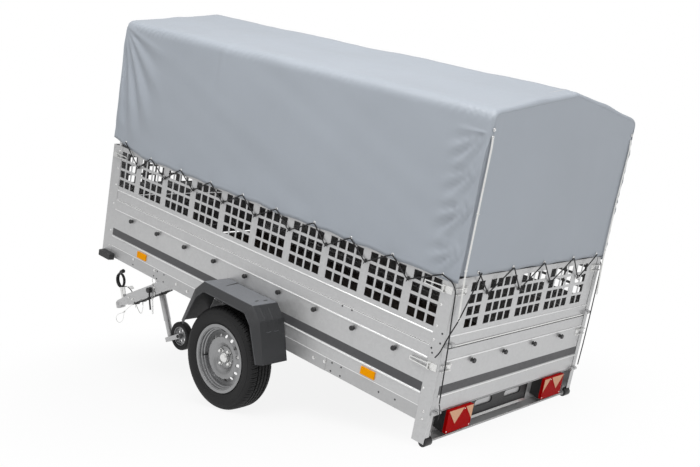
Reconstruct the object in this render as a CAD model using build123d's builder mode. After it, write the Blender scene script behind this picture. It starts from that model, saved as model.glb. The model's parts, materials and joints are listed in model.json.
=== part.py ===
from build123d import *
import os
from math import asin, atan2, cos, degrees, hypot, radians, sin

os.makedirs("parts", exist_ok=True)

# A single-axle utility trailer with mesh side extensions and a high fabric cover.
# The bed is drawn level, x forward from its rear face, y to the left and z up from
# the bottom edge of the side rail. It is parked tipped back on its rear rollers.
# All sizes are in millimetres.

# Bed
bed_length = 2650
bed_width = 1300
frame_sheet = 3
rail_height = 70
rail_flange = 45
floor_low = 50
floor_thick = 12
cross_width = 50
cross_count = 5
seat_gap = 0.3
sleeve_rear = 655
sleeve_front_inset = 580
sleeve_sheet = 2

# Lower walls
wall_sheet = 2.5
wall_top = 360
bead_r = 5
bead_heights = (130, 300)
wall_flange = 22

# Mesh extensions
mesh_sheet = 2
mesh_low = 362
mesh_top = 690
mesh_bead_z = 420
mesh_bead_r = 4
mesh_flange = 20
hole_width = 45
hole_height = 43
column_pitch = 57
row_pitch = 57.5
row_count = 4
first_row_z = 468.5
group_pitch = 264
group_columns = 4
end_columns = 3
gate_end_columns = 2

# Corner posts
rear_post_width = 71
front_post_width = 90
post_flange = 35
rear_post_low = -97

# Rear beam and lamps
beam_depth = 60
lamp_width = 195
lamp_height = 114
lamp_proud = 14
lamp_inset = 232
lamp_low = -69
lens_depth = 16
housing_inset = 5
triangle_side = 118
triangle_proud = 1.5
plate_width = 520
plate_height = 110
plate_thick = 8
plate_rim = 2.5
plate_rim_proud = 4
plate_slot = (150, 34)
plate_slot_y = 130

# Side reflectors and tie-down knobs
reflector_rear = 386
reflector_front_inset = 415
reflector_z = 97
reflector_width = 88
reflector_height = 38
reflector_thick = 6
knob_z = 274
knob_r = 13
knob_head = 7
knob_stem_r = 6.5
knob_base_r = 11
knob_base = 4
knob_reach = 19

# Gates
gate_side_gap = 38
gate_depth = 22
gate_front = 2
gate_clear = 7
tailgate_low = 54
tailgate_top = 357
tailgate_axis = (-9, 54)
mesh_gate_low = 370
mesh_gate_axis = (-9, 380)
hinge_pin_r = 5
hinge_eye_r = 9
hinge_length = 24
hinge_inset = 3
pin_clearance = 0.08

# Over-centre latches, one pair on each rear post and one above on each front post
latch_heights = (270, 632)
latch_start = 10
latch_plate = (54, 34)
latch_sheet = 3
latch_bar = 5
latch_stand = 12
latch_handle = 150
latch_grip = 20
catch_inset = 75
catch_plate = (30, 40)
prong_r = 3
catch_air = 6

# Axle and road wheels
axle_x = 1241
axle_z = -140
torsion_x = 1400
torsion_z = -52
torsion_size = 70
torsion_inset = 65
torsion_wall = 5
arm_thick = 18
arm_width = 64
stub_r = 17
stub_past = 10
bracket_sheet = 4
bracket_length = 90
bracket_gap = 11
tyre_r = 274
tyre_width = 155
tyre_outset = 105
tyre_tread_edge = 32
tyre_shoulder = 20
tyre_shoulder_drop = 5
tyre_bulge = 4
rim_r = 170
rim_width = 130
rim_sheet = 4
rim_flange = 12
rim_lip = 5
dish_sheet = 5
dish_line = ((19, 166), (27, 129), (41, 111), (37, 82), (20, 60), (17.5, 30))
vent_count = 16
vent_r = 9
vent_circle_r = 118
wheel_bolt_count = 4
wheel_bolt_r = 7
wheel_bolt_circle_r = 46
hub_r = 60
hub_face = 14.7
drum_r = 50
drum_back = 90
cap_r = 27
cap_reach = 42
hub_bore_clearance = 0.08

# Rear rollers
roller_x = 12
roller_z = -92
roller_r = 22
roller_length = 50
roller_side_gap = 2
roller_pin_r = 6
hanger_sheet = 4
hanger_top = -50

# Mudguards, as corners along x and up from the axle: a flat band that ends at a
# crease, then a skirt that slopes out and down to its free edge
guard_reach = 200
guard_skirt = 30
guard_sheet = 4
guard_foot = -50
guard_crease = ((381, -150), (266, 156), (198, 222), (-190, 222), (-256, 158), (-362, -150))
guard_edge = ((335, -150), (221, 128), (163, 180), (-168, 180), (-220, 132), (-348, -150))

# Drawbar
pivot_inset = 345
pivot_z = -52
drawbar_angle = 31
drawbar_width = 60
drawbar_height = 80
drawbar_wall = 3
drawbar_length = 1030
drawbar_tail = 40
pivot_pin_r = 8
pivot_ear = 6
pivot_ear_gap = 5
pivot_ear_width = 70
pivot_ear_drop = 30
pivot_head = 12
coupling_length = 170
coupling_shank = 58
coupling_nose = 44
ball_r = 25
ball_clearance = 0.3
socket_mouth = -32
socket_length = 44
coupling_wall = 8
dome_shoulder = 4
dome_top = 28
lug_back = 60
lug_length = 34
lug_width = 18
lug_top = 52
lever_pin_r = 5
lever_sheet = 4
lever_air = 0.3
lever_rise = 66
lever_length = 118
lever_drop = 24

# Jockey wheel, clamped square to the drawbar
jockey_x = 722
jockey_side_gap = 6
jockey_lift = 110
jockey_drop = 120
outer_tube_r = 24
outer_tube_wall = 2.5
outer_tube_top = 290
inner_tube_r = 21
inner_tube_back = 150
clamp_height = 60
clamp_wall = 6
clamp_ear = 22
kingpin_r = 8
kingpin_length = 26
jockey_wheel_r = 100
jockey_wheel_width = 50
jockey_trail = 128
jockey_axle_drop = 18
jockey_rim_r = 65
jockey_hub_r = 18
jockey_hub_half = 27
jockey_web = 6
jockey_hole_count = 6
jockey_hole_r = 11
jockey_tread_round = 12
fork_gap = 6
fork_plate = 5
fork_crown = 32
fork_arm = 34
fork_air = 8
crank_cap = 8
crank_post_r = 8
crank_post = 14
crank_bar = 18
crank_sheet = 6
crank_reach = 90
grip_r = 9
grip_length = 70

# Front corner blocks
block_length = 120
block_end = 15
block_depth = 36
block_low = -16
block_height = 42
block_round = 8

# Cover
cover_sheet = 3
cover_hem = 664
cover_rear_hem = 702
cover_eaves = 1430
cover_ridge = 1540
cover_end = 16
cover_round = 60
cover_air = 0.3
hoop_r = 11
hoop_wall = 2
hoop_count = 4
hoop_end = 60

half = bed_width / 2
floor_top = floor_low + floor_thick
front_edge = bed_length - front_post_width
pivot_x = bed_length - pivot_inset
gate_half_width = half - gate_side_gap
lamp_centre_y = half - lamp_inset
torsion_half = half - torsion_inset
tyre_centre_y = half + tyre_outset
guard_out = half + guard_reach

# The bed rocks back until the road wheels and the rear rollers share one floor.
lever_x = axle_x - roller_x
lever_z = axle_z - roller_z
tilt = degrees(asin((tyre_r - roller_r) / hypot(lever_x, lever_z)) - atan2(lever_z, lever_x))
lift = tyre_r - axle_x * sin(radians(tilt)) - axle_z * cos(radians(tilt))

pieces = {}


def keep(block, node, pose):
    """Hold a finished piece, set at its parked place."""
    pieces[node] = block.part.moved(pose)


bed_pose = Location((0, 0, lift), (0, -tilt, 0))
drawbar_pose = bed_pose * Location((pivot_x, 0, pivot_z), (0, drawbar_angle, 0))

# Floor
floor_rear = gate_front + gate_depth + gate_clear
floor_front = bed_length - frame_sheet
with BuildPart() as floor:
    with BuildSketch(Plane.XY.offset(floor_low)):
        with Locations(((floor_rear + floor_front) / 2, 0)):
            Rectangle(floor_front - floor_rear, bed_width - 2 * frame_sheet)
    extrude(amount=floor_thick)
keep(floor, "floor", bed_pose)

# Side rails
with BuildPart() as rails:
    with BuildSketch(Plane.YZ.offset(rear_post_width)):
        with Locations((half - frame_sheet / 2, rail_height / 2)):
            Rectangle(frame_sheet, rail_height)
        with Locations((half - rail_flange / 2, frame_sheet / 2)):
            Rectangle(rail_flange, frame_sheet)
    extrude(amount=front_edge - rear_post_width)
    mirror(about=Plane.XZ)
keep(rails, "side_rails", bed_pose)

# Sleeves lapped over the middle of the rails, where the axle and the drawbar pull
sleeve_front = bed_length - sleeve_front_inset
with BuildPart() as sleeves:
    with BuildSketch(Plane.XZ.offset(-half)):
        with Locations(((sleeve_rear + sleeve_front) / 2, rail_height / 2)):
            Rectangle(sleeve_front - sleeve_rear, rail_height)
    extrude(amount=-sleeve_sheet)
    mirror(about=Plane.XZ)
keep(sleeves, "rail_sleeves", bed_pose)

# Cross members
cross_half = half - frame_sheet
cross_height = floor_low - frame_sheet
cross_first = 260
cross_step = (pivot_x - cross_first) / (cross_count - 1)
with BuildPart() as cross:
    for index in range(cross_count):
        with BuildSketch(Plane.XZ):
            with Locations((cross_first + index * cross_step, frame_sheet + cross_height / 2)):
                Rectangle(cross_width, cross_height)
                with Locations((0, -frame_sheet)):
                    Rectangle(cross_width - 2 * frame_sheet, cross_height, mode=Mode.SUBTRACT)
        extrude(amount=cross_half, both=True)
keep(cross, "cross_members", bed_pose)

# Front beam
front_beam_x = bed_length - frame_sheet
with BuildPart() as front_beam:
    with BuildSketch(Plane.XZ):
        with Locations((front_beam_x - cross_width / 2, floor_low / 2)):
            Rectangle(cross_width, floor_low)
            with Locations((-frame_sheet, 0)):
                Rectangle(cross_width, floor_low - 2 * frame_sheet, mode=Mode.SUBTRACT)
    extrude(amount=half - frame_sheet, both=True)
keep(front_beam, "front_beam", bed_pose)

# Rear beam, open to the rear
beam_low = rear_post_low
hanger_y = half - frame_sheet - 2 * roller_side_gap - roller_length - hanger_sheet
with BuildPart() as rear_beam:
    with BuildSketch(Plane.XZ):
        with Locations((frame_sheet + beam_depth / 2, (beam_low + floor_low) / 2)):
            Rectangle(beam_depth, floor_low - beam_low)
            with Locations((-frame_sheet, 0)):
                Rectangle(beam_depth, floor_low - beam_low - 2 * frame_sheet, mode=Mode.SUBTRACT)
    extrude(amount=half - frame_sheet, both=True)
    # The lower flange is cut away for the rollers, which turn on pins from two hangers
    with BuildSketch(Plane.XY.offset(beam_low)):
        for side in (1, -1):
            with Locations((beam_depth / 2, side * (hanger_y + half) / 2)):
                Rectangle(beam_depth, half - hanger_y)
    extrude(amount=frame_sheet, mode=Mode.SUBTRACT)
    for side in (1, -1):
        with BuildSketch(Plane.XZ.offset(-side * hanger_y)):
            with Locations((beam_depth, hanger_top)):
                Rectangle(beam_depth - roller_x, hanger_top - roller_z, align=(Align.MAX, Align.MAX))
            with Locations((roller_x, roller_z)):
                Circle(2 * roller_pin_r)
            with BuildLine():
                Polyline(
                    (roller_x, roller_z - 2 * roller_pin_r), (roller_x, hanger_top),
                    (beam_depth, hanger_top), (beam_depth, roller_z), close=True)
            make_face()
        extrude(amount=-side * hanger_sheet)
        with BuildSketch(Plane.XZ.offset(-side * (hanger_y + hanger_sheet))):
            with Locations((roller_x, roller_z)):
                Circle(roller_pin_r)
        extrude(amount=-side * (roller_length + roller_side_gap))
keep(rear_beam, "rear_beam", bed_pose)

# Corner posts. The rear flanges end above the rollers.
with BuildPart() as posts:
    with BuildSketch(Plane.XY.offset(rear_post_low)):
        with Locations((rear_post_width / 2, half - frame_sheet / 2)):
            Rectangle(rear_post_width, frame_sheet)
    extrude(amount=mesh_top - rear_post_low)
    flange_low = roller_z + roller_r + roller_side_gap
    with BuildSketch(Plane.XY.offset(flange_low)):
        with Locations((frame_sheet / 2, half - post_flange / 2)):
            Rectangle(frame_sheet, post_flange)
    extrude(amount=mesh_top - flange_low)
    with BuildSketch(Plane.XY):
        with Locations((bed_length - front_post_width / 2, half - frame_sheet / 2)):
            Rectangle(front_post_width, frame_sheet)
        with Locations((bed_length - frame_sheet / 2, half - post_flange / 2)):
            Rectangle(frame_sheet, post_flange)
    extrude(amount=mesh_top)
    mirror(about=Plane.XZ)
keep(posts, "corner_posts", bed_pose)


def wall_section(plane, outward):
    """A folded wall: upright sheet, inward top flange and two round beads."""
    with BuildSketch(plane) as section:
        with Locations((outward - wall_sheet / 2, (rail_height + wall_top) / 2)):
            Rectangle(wall_sheet, wall_top - rail_height)
        with Locations((outward - wall_flange / 2, wall_top - wall_sheet / 2)):
            Rectangle(wall_flange, wall_sheet)
        for height in bead_heights:
            with Locations((outward - wall_sheet / 2, height)):
                Circle(bead_r)
    return section.sketch


# Lower walls
with BuildPart() as walls:
    extrude(wall_section(Plane.YZ.offset(rear_post_width), half), amount=front_edge - rear_post_width)
    mirror(about=Plane.XZ)
keep(walls, "side_walls", bed_pose)

with BuildPart() as front_wall:
    extrude(wall_section(Plane.XZ, bed_length), amount=half - post_flange, both=True)
keep(front_wall, "front_wall", bed_pose)


def group_centres(span_centre, groups):
    """Centres of the full groups of holes along a panel."""
    return [span_centre + (index - (groups - 1) / 2) * group_pitch for index in range(groups)]


def rib_places(span_centre, groups):
    """Centres of the plain ribs on both sides of each full group."""
    return [span_centre + (index - groups / 2) * group_pitch for index in range(groups + 1)]


def hole_columns(span_centre, groups, extra):
    """Centres of all hole columns: full groups, and extra columns at each end."""
    columns = []
    for centre in group_centres(span_centre, groups):
        for column in range(group_columns):
            columns.append(centre + (column - (group_columns - 1) / 2) * column_pitch)
    step_over = group_pitch - (group_columns - 1) * column_pitch
    last = columns[-1]
    for column in range(extra):
        reach = last + step_over + column * column_pitch - span_centre
        columns.append(span_centre + reach)
        columns.append(span_centre - reach)
    return columns


def hole_places(columns):
    """Centres of all holes of a panel, column by column."""
    rows = [first_row_z + row * row_pitch for row in range(row_count)]
    return [(column, row) for column in columns for row in rows]


# Side mesh panels stand inside the posts
mesh_face = half - frame_sheet
side_centre = (rear_post_width + front_edge) / 2
side_groups = int((front_edge - rear_post_width) // group_pitch) - 1
side_ribs = rib_places(side_centre, side_groups)
gate_groups = int(2 * gate_half_width // group_pitch) - 1
gate_ribs = rib_places(0, gate_groups)
with BuildPart() as mesh_sides:
    with BuildSketch(Plane.XZ.offset(-mesh_face)):
        with Locations((bed_length / 2, (mesh_low + mesh_top) / 2)):
            Rectangle(bed_length - 2 * frame_sheet, mesh_top - mesh_low)
        with Locations(*hole_places(hole_columns(side_centre, side_groups, end_columns))):
            Rectangle(hole_width, hole_height, mode=Mode.SUBTRACT)
    extrude(amount=mesh_sheet)
    with BuildSketch(Plane.YZ.offset(frame_sheet + post_flange)):
        with Locations((mesh_face - mesh_flange / 2, mesh_top - mesh_sheet / 2)):
            Rectangle(mesh_flange, mesh_sheet)
        with Locations((mesh_face - mesh_flange / 2, mesh_low + mesh_sheet / 2)):
            Rectangle(mesh_flange, mesh_sheet)
    extrude(amount=bed_length - 2 * frame_sheet - 2 * post_flange)
    with BuildSketch(Plane.YZ.offset(rear_post_width)):
        with Locations((mesh_face - mesh_sheet / 2, mesh_bead_z)):
            Circle(mesh_bead_r)
    extrude(amount=front_edge - rear_post_width)
    mirror(about=Plane.XZ)
keep(mesh_sides, "mesh_sides", bed_pose)

with BuildPart() as mesh_front:
    with BuildSketch(Plane.YZ.offset(bed_length - frame_sheet - mesh_sheet)):
        with Locations((0, (mesh_low + mesh_top) / 2)):
            Rectangle(2 * (half - frame_sheet - mesh_flange - 1), mesh_top - mesh_low)
        with Locations(*hole_places(hole_columns(0, gate_groups, gate_end_columns))):
            Rectangle(hole_width, hole_height, mode=Mode.SUBTRACT)
    extrude(amount=mesh_sheet)
    with BuildSketch(Plane.XZ):
        with Locations((bed_length - frame_sheet - mesh_sheet / 2, mesh_bead_z)):
            Circle(mesh_bead_r)
    extrude(amount=half - post_flange, both=True)
keep(mesh_front, "mesh_front", bed_pose)

# Torsion axle with trailing arms and stub shafts
stub_out = tyre_centre_y + stub_past
with BuildPart() as axle:
    with BuildSketch(Plane.XZ):
        with Locations((torsion_x, torsion_z)):
            Rectangle(torsion_size, torsion_size)
            torsion_bore = torsion_size - 2 * torsion_wall
            Rectangle(torsion_bore, torsion_bore, mode=Mode.SUBTRACT)
    extrude(amount=torsion_half, both=True)
    with BuildSketch(Plane.XZ.offset(-torsion_half)):
        with Locations(Location(((torsion_x + axle_x) / 2, (torsion_z + axle_z) / 2),
                                degrees(atan2(torsion_z - axle_z, torsion_x - axle_x)))):
            SlotCenterToCenter(hypot(torsion_x - axle_x, torsion_z - axle_z), arm_width)
    extrude(amount=-arm_thick)
    with BuildSketch(Plane.XZ.offset(-torsion_half - arm_thick)):
        with Locations((axle_x, axle_z)):
            Circle(stub_r)
    extrude(amount=-(stub_out - torsion_half - arm_thick))
    mirror(about=Plane.XZ)
keep(axle, "axle", bed_pose)

# Brackets that hang the axle from the rails
bracket_drop = -(torsion_z + torsion_size / 2)
with BuildPart() as axle_brackets:
    with BuildSketch(Plane.XZ.offset(bracket_length / 2 - torsion_half)):
        with Locations((torsion_x, -bracket_drop / 2)):
            Rectangle(torsion_size + 2 * (bracket_gap + bracket_sheet), bracket_drop)
            bracket_space = torsion_size + 2 * bracket_gap
            Rectangle(bracket_space, bracket_drop - 2 * bracket_sheet, mode=Mode.SUBTRACT)
    extrude(amount=-bracket_length)
    mirror(about=Plane.XZ)
keep(axle_brackets, "axle_brackets", bed_pose)


def road_tyre(side):
    """Revolve a low road tyre about its axle."""
    inner = rim_r + seat_gap
    seat = rim_r + rim_flange + 1
    bead = rim_width / 2 - seat_gap
    wall = tyre_width / 2
    bulge_r = (inner + tyre_r) / 2 + tyre_bulge
    shoulder = (wall - tyre_shoulder, tyre_r - tyre_shoulder_drop)
    with BuildPart() as tyre:
        with BuildSketch(Plane.YZ.offset(axle_x)):
            with BuildLine():
                Line((0, inner), (bead, inner))
                Line((bead, inner), (bead, seat))
                ThreePointArc((bead, seat), (wall, bulge_r), shoulder)
                Line(shoulder, (wall - tyre_tread_edge, tyre_r))
                Line((wall - tyre_tread_edge, tyre_r), (0, tyre_r))
                mirror(about=Plane.YZ)
            make_face()
        revolve(axis=Axis((axle_x, 0, 0), (0, 1, 0)))
    return Pos(0, side * tyre_centre_y, axle_z) * tyre.part


def road_rim(side):
    """A pressed steel rim: barrel, dished disc with vent holes and four bolt holes."""
    edge = rim_width / 2
    dish_face = [(y + dish_sheet / 2, r) for y, r in dish_line]
    dish_back = [(y - dish_sheet / 2, r) for y, r in reversed(dish_line)]
    with BuildPart() as rim:
        with BuildSketch(Plane.YZ.offset(axle_x)):
            with BuildLine():
                Polyline(
                    (-edge - rim_lip, rim_r + rim_flange), (-edge, rim_r + rim_flange), (-edge, rim_r),
                    (edge, rim_r), (edge, rim_r + rim_flange), (edge + rim_lip, rim_r + rim_flange),
                    (edge + rim_lip, rim_r - rim_sheet), (-edge - rim_lip, rim_r - rim_sheet), close=True)
            make_face()
            with BuildLine():
                Polyline(*dish_face, *dish_back, close=True)
            make_face()
        revolve(axis=Axis((axle_x, 0, 0), (0, 1, 0)))
        with BuildSketch(Plane.XZ.offset(-edge)):
            with Locations((axle_x, 0)):
                with PolarLocations(vent_circle_r, vent_count):
                    Circle(vent_r)
                with PolarLocations(wheel_bolt_circle_r, wheel_bolt_count, start_angle=45):
                    Circle(wheel_bolt_r)
        extrude(amount=edge, mode=Mode.SUBTRACT)
    body = rim.part
    if side < 0:
        body = body.mirror(Plane.XZ)
    return Pos(0, side * tyre_centre_y, axle_z) * body


def road_hub(side):
    """The hub drum that runs on the stub, with its grease cap."""
    bore = stub_r + hub_bore_clearance
    bore_end = stub_past + 0.5
    with BuildPart() as hub:
        with BuildSketch(Plane.YZ.offset(axle_x)):
            with BuildLine():
                Polyline(
                    (-drum_back, bore), (-drum_back, drum_r), (-hub_face, drum_r), (-hub_face, hub_r),
                    (hub_face, hub_r), (hub_face, cap_r), (cap_reach - 6, cap_r), (cap_reach, cap_r - 8),
                    (cap_reach, 0), (bore_end, 0), (bore_end, bore), close=True)
            make_face()
        revolve(axis=Axis((axle_x, 0, 0), (0, 1, 0)))
    body = hub.part
    if side < 0:
        body = body.mirror(Plane.XZ)
    return Pos(0, side * tyre_centre_y, axle_z) * body


for side, name in ((1, "left"), (-1, "right")):
    pieces["tyre_" + name] = bed_pose * road_tyre(side)
    pieces["rim_" + name] = bed_pose * road_rim(side)
    pieces["hub_" + name] = bed_pose * road_hub(side)

# Rear rollers on the pins of the beam's hangers
with BuildPart() as rollers:
    with BuildSketch(Plane.XZ.offset(-(hanger_y + hanger_sheet + roller_side_gap))):
        with Locations((roller_x, roller_z)):
            Circle(roller_r)
            Circle(roller_pin_r + pin_clearance, mode=Mode.SUBTRACT)
    extrude(amount=-roller_length)
    mirror(about=Plane.XZ)
keep(rollers, "rear_rollers", bed_pose)

# Mudguards
guard_in = half - wall_sheet / 2 + bead_r + seat_gap
crease_y = guard_out - guard_skirt


def guard_face(y, corners, inset):
    """The guard's outline at one distance from the bed, drawn in by inset."""
    with BuildSketch(Plane.XZ.offset(-y)) as face:
        with BuildLine():
            Polyline(*[(axle_x + x, z) for x, z in corners], close=True)
        make_face()
        if inset:
            offset(amount=-inset, kind=Kind.INTERSECTION)
    return face.sketch


def guard_block(inset):
    """A closed block in the guard's shape: flat band, then skirt."""
    with BuildPart() as block:
        extrude(guard_face(guard_in, guard_crease, inset), amount=-(crease_y - guard_in))
        loft([guard_face(crease_y, guard_crease, inset), guard_face(guard_out, guard_edge, inset)], ruled=True)
    return block.part


with BuildPart() as guards:
    add(guard_block(0))
    add(guard_block(guard_sheet), mode=Mode.SUBTRACT)
    split(bisect_by=Plane.XY.offset(guard_foot), keep=Keep.TOP)
    mirror(about=Plane.XZ)
keep(guards, "mudguards", bed_pose)

# Lamps
lamp_middle = lamp_low + lamp_height / 2
with BuildPart() as housings:
    with BuildSketch(Plane.YZ.offset(-lamp_proud + lens_depth)):
        with Locations((lamp_centre_y, lamp_middle)):
            Rectangle(lamp_width, lamp_height)
    with BuildSketch(Plane.YZ.offset(beam_depth)):
        with Locations((lamp_centre_y, lamp_middle)):
            Rectangle(lamp_width - 2 * housing_inset, lamp_height - 2 * housing_inset)
    loft()
    mirror(about=Plane.XZ)
keep(housings, "lamp_housings", bed_pose)

# Each lens carries one whole triangle on its outer side and half of one on its inner
# side, both point down
triangle_drop = triangle_side * sin(radians(60)) * 0.7
with BuildPart() as lenses:
    with BuildSketch(Plane.YZ.offset(-lamp_proud)):
        with Locations((lamp_centre_y, lamp_middle)):
            RectangleRounded(lamp_width, lamp_height, 6)
    extrude(amount=lens_depth)
    lens_out = lamp_centre_y + lamp_width / 2 - plate_rim
    lens_in = lamp_centre_y - lamp_width / 2 + plate_rim
    lens_top = lamp_low + lamp_height - plate_rim
    with BuildSketch(Plane.YZ.offset(-lamp_proud)):
        with BuildLine():
            Polyline(
                (lens_out, lens_top), (lens_out - triangle_side, lens_top),
                (lens_out - triangle_side / 2, lens_top - triangle_drop), close=True)
        make_face()
        with BuildLine():
            Polyline(
                (lens_in, lens_top), (lens_in + triangle_side / 2, lens_top),
                (lens_in, lens_top - triangle_drop), close=True)
        make_face()
    extrude(amount=-triangle_proud)
    mirror(about=Plane.XZ)
keep(lenses, "lamp_lenses", bed_pose)

# Number plate holder: a panel with two slots, and a rim round the plate's place
plate_face = beam_depth - plate_thick
with BuildPart() as plate_holder:
    with BuildSketch(Plane.YZ.offset(plate_face - plate_rim_proud)):
        with Locations((0, lamp_middle)):
            Rectangle(plate_width + 2 * plate_rim, plate_height + 2 * plate_rim)
    extrude(amount=plate_thick + plate_rim_proud)
    with BuildSketch(Plane.YZ.offset(plate_face - plate_rim_proud)):
        with Locations((0, lamp_middle)):
            Rectangle(plate_width, plate_height)
    extrude(amount=plate_rim_proud, mode=Mode.SUBTRACT)
    with BuildSketch(Plane.YZ.offset(plate_face)):
        with Locations((-plate_slot_y, lamp_middle), (plate_slot_y, lamp_middle)):
            SlotOverall(*plate_slot)
    extrude(amount=plate_thick, mode=Mode.SUBTRACT)
keep(plate_holder, "plate_holder", bed_pose)

# Side reflectors
reflector_x = (reflector_rear, bed_length - reflector_front_inset)
with BuildPart() as reflectors:
    with BuildSketch(Plane.XZ.offset(-half)):
        with Locations(*[(place, reflector_z) for place in reflector_x]):
            Rectangle(reflector_width, reflector_height)
    extrude(amount=-reflector_thick)
    mirror(about=Plane.XZ)
keep(reflectors, "side_reflectors", bed_pose)


def knob():
    """A tie-down knob that points along z: flared base, neck and head."""
    with BuildPart() as body:
        with BuildSketch(Plane.XZ):
            with BuildLine():
                Polyline(
                    (0, 0), (knob_base_r, 0), (knob_stem_r, knob_base),
                    (knob_stem_r, knob_reach - knob_head),
                    (knob_r, knob_reach - knob_head), (knob_r - 2, knob_reach), (0, knob_reach), close=True)
            make_face()
        revolve(axis=Axis.Z)
    return body.part


# Tie-down knobs along the walls, under the ribs between the groups of holes
with BuildPart() as knobs:
    for place in side_ribs:
        add(Pos(place, half, knob_z) * Rot(-90, 0, 0) * knob())
    mirror(about=Plane.XZ)
keep(knobs, "side_knobs", bed_pose)


def gate_eyes(axis_place):
    """Eyes of a gate around its two hinge pins, at the gate's ends."""
    outer = gate_half_width - hinge_inset
    with BuildSketch(Plane.XZ.offset(-outer)) as eyes:
        with Locations(axis_place):
            Circle(hinge_eye_r)
        with Locations((axis_place[0] + hinge_eye_r, axis_place[1] + hinge_eye_r / 2)):
            Rectangle(2 * hinge_eye_r, hinge_eye_r)
        with Locations(axis_place):
            Circle(hinge_pin_r + pin_clearance, mode=Mode.SUBTRACT)
    return eyes.sketch


# Tailgate
with BuildPart() as tailgate:
    with BuildSketch(Plane.XZ):
        with Locations((gate_front + wall_sheet / 2, (tailgate_low + tailgate_top) / 2)):
            Rectangle(wall_sheet, tailgate_top - tailgate_low)
        with Locations((gate_front + gate_depth / 2, tailgate_top - wall_sheet / 2)):
            Rectangle(gate_depth, wall_sheet)
        with Locations((gate_front + gate_depth / 2, tailgate_low + wall_sheet / 2)):
            Rectangle(gate_depth, wall_sheet)
        for height in bead_heights:
            with Locations((gate_front + wall_sheet / 2, height)):
                Circle(bead_r)
    extrude(amount=gate_half_width, both=True)
    extrude(gate_eyes(tailgate_axis), amount=hinge_length)
    mirror(about=Plane.XZ)
keep(tailgate, "tailgate", bed_pose)

with BuildPart() as tailgate_knobs:
    for place in gate_ribs:
        add(Pos(gate_front, place, knob_z) * Rot(0, -90, 0) * knob())
keep(tailgate_knobs, "tailgate_knobs", bed_pose)

# Mesh gate
with BuildPart() as mesh_gate:
    with BuildSketch(Plane.YZ.offset(gate_front)):
        with Locations((0, (mesh_gate_low + mesh_top) / 2)):
            Rectangle(2 * gate_half_width, mesh_top - mesh_gate_low)
        with Locations(*hole_places(hole_columns(0, gate_groups, gate_end_columns))):
            Rectangle(hole_width, hole_height, mode=Mode.SUBTRACT)
    extrude(amount=mesh_sheet)
    with BuildSketch(Plane.XZ):
        with Locations((gate_front + mesh_sheet / 2, mesh_bead_z)):
            Circle(mesh_bead_r)
        with Locations((gate_front + gate_depth / 2, mesh_top - mesh_sheet / 2)):
            Rectangle(gate_depth, mesh_sheet)
        with Locations((gate_front + gate_depth / 2, mesh_gate_low + mesh_sheet / 2)):
            Rectangle(gate_depth, mesh_sheet)
    extrude(amount=gate_half_width, both=True)
    extrude(gate_eyes(mesh_gate_axis), amount=hinge_length)
    mirror(about=Plane.XZ)
keep(mesh_gate, "mesh_gate", bed_pose)

# Hinge pins on the rear posts
with BuildPart() as hinge_pins:
    for axis_place in (tailgate_axis, mesh_gate_axis):
        with BuildSketch(Plane.XZ.offset(-(gate_half_width - hinge_inset - hinge_length))):
            with Locations(axis_place):
                Circle(hinge_pin_r)
        extrude(amount=-(hinge_length + hinge_inset + 8))
        with BuildSketch(Plane.XZ.offset(-(gate_half_width + 5))):
            with Locations(axis_place):
                Circle(hinge_eye_r)
            with Locations((axis_place[0] / 2, axis_place[1])):
                Rectangle(-axis_place[0], 2 * hinge_eye_r)
        extrude(amount=-24)
    mirror(about=Plane.XZ)
keep(hinge_pins, "gate_hinges", bed_pose)



def latch(length):
    """An over-centre latch that lies along x from its plate, y away from the wall: a
    plate with two ears, and an open handle of this length on the pin between them."""
    long, high = latch_plate
    ear_in = high / 2 - latch_sheet
    pin_x = long - latch_sheet - latch_bar
    with BuildPart() as body:
        with BuildSketch(Plane.XZ):
            with Locations((long / 2, 0)):
                Rectangle(long, high)
        extrude(amount=-latch_sheet)
        for side in (1, -1):
            with BuildSketch(Plane.XY.offset(side * ear_in)):
                with Locations((long - latch_sheet, 0)):
                    Rectangle(long / 3, latch_stand, align=(Align.MAX, Align.MIN))
            extrude(amount=side * latch_sheet)
        with BuildSketch(Plane.XZ.offset(-(latch_stand - latch_bar))):
            with Locations((pin_x, 0)):
                Rectangle(latch_bar, 2 * ear_in)
            with BuildLine():
                Polyline(
                    (pin_x, ear_in), (length, latch_grip / 2), (length, -latch_grip / 2),
                    (pin_x, -ear_in), (pin_x, latch_bar - ear_in),
                    (length - latch_bar, latch_bar - latch_grip / 2),
                    (length - latch_bar, latch_grip / 2 - latch_bar), (pin_x, ear_in - latch_bar), close=True)
            make_face()
        extrude(amount=-latch_bar)
    return body.part


with BuildPart() as latches:
    for height in latch_heights:
        add(Pos(latch_start, half, height) * latch(latch_handle))
    mirror(about=Plane.XZ)
keep(latches, "rear_latches", bed_pose)

# The front latches point back from the front posts
with BuildPart() as front_latches:
    add(Pos(bed_length - latch_start, half, latch_heights[1]) * latch(latch_handle).mirror(Plane.YZ))
    mirror(about=Plane.XZ)
keep(front_latches, "front_latches", bed_pose)


def catch(height):
    """A gate's catch: a plate, and two prongs that reach out towards the rear post."""
    wide, high = catch_plate
    catch_y = half - catch_inset
    prong_x = gate_front - catch_air - prong_r
    with BuildPart() as body:
        with BuildSketch(Plane.YZ.offset(gate_front)):
            with Locations((catch_y, height)):
                Rectangle(wide, high)
        extrude(amount=-latch_sheet)
        for side in (1, -1):
            prong_z = height + side * (high / 2 - 2 * prong_r)
            with BuildSketch(Plane.YZ.offset(gate_front - latch_sheet)):
                with Locations((catch_y, prong_z)):
                    Rectangle(2 * latch_bar, 2 * prong_r)
            extrude(amount=-(catch_air + 2 * prong_r - latch_sheet))
            with BuildSketch(Plane.XZ.offset(-catch_y)):
                with Locations((prong_x, prong_z)):
                    Circle(prong_r)
            extrude(amount=-(catch_inset - catch_air))
    return body.part


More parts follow.
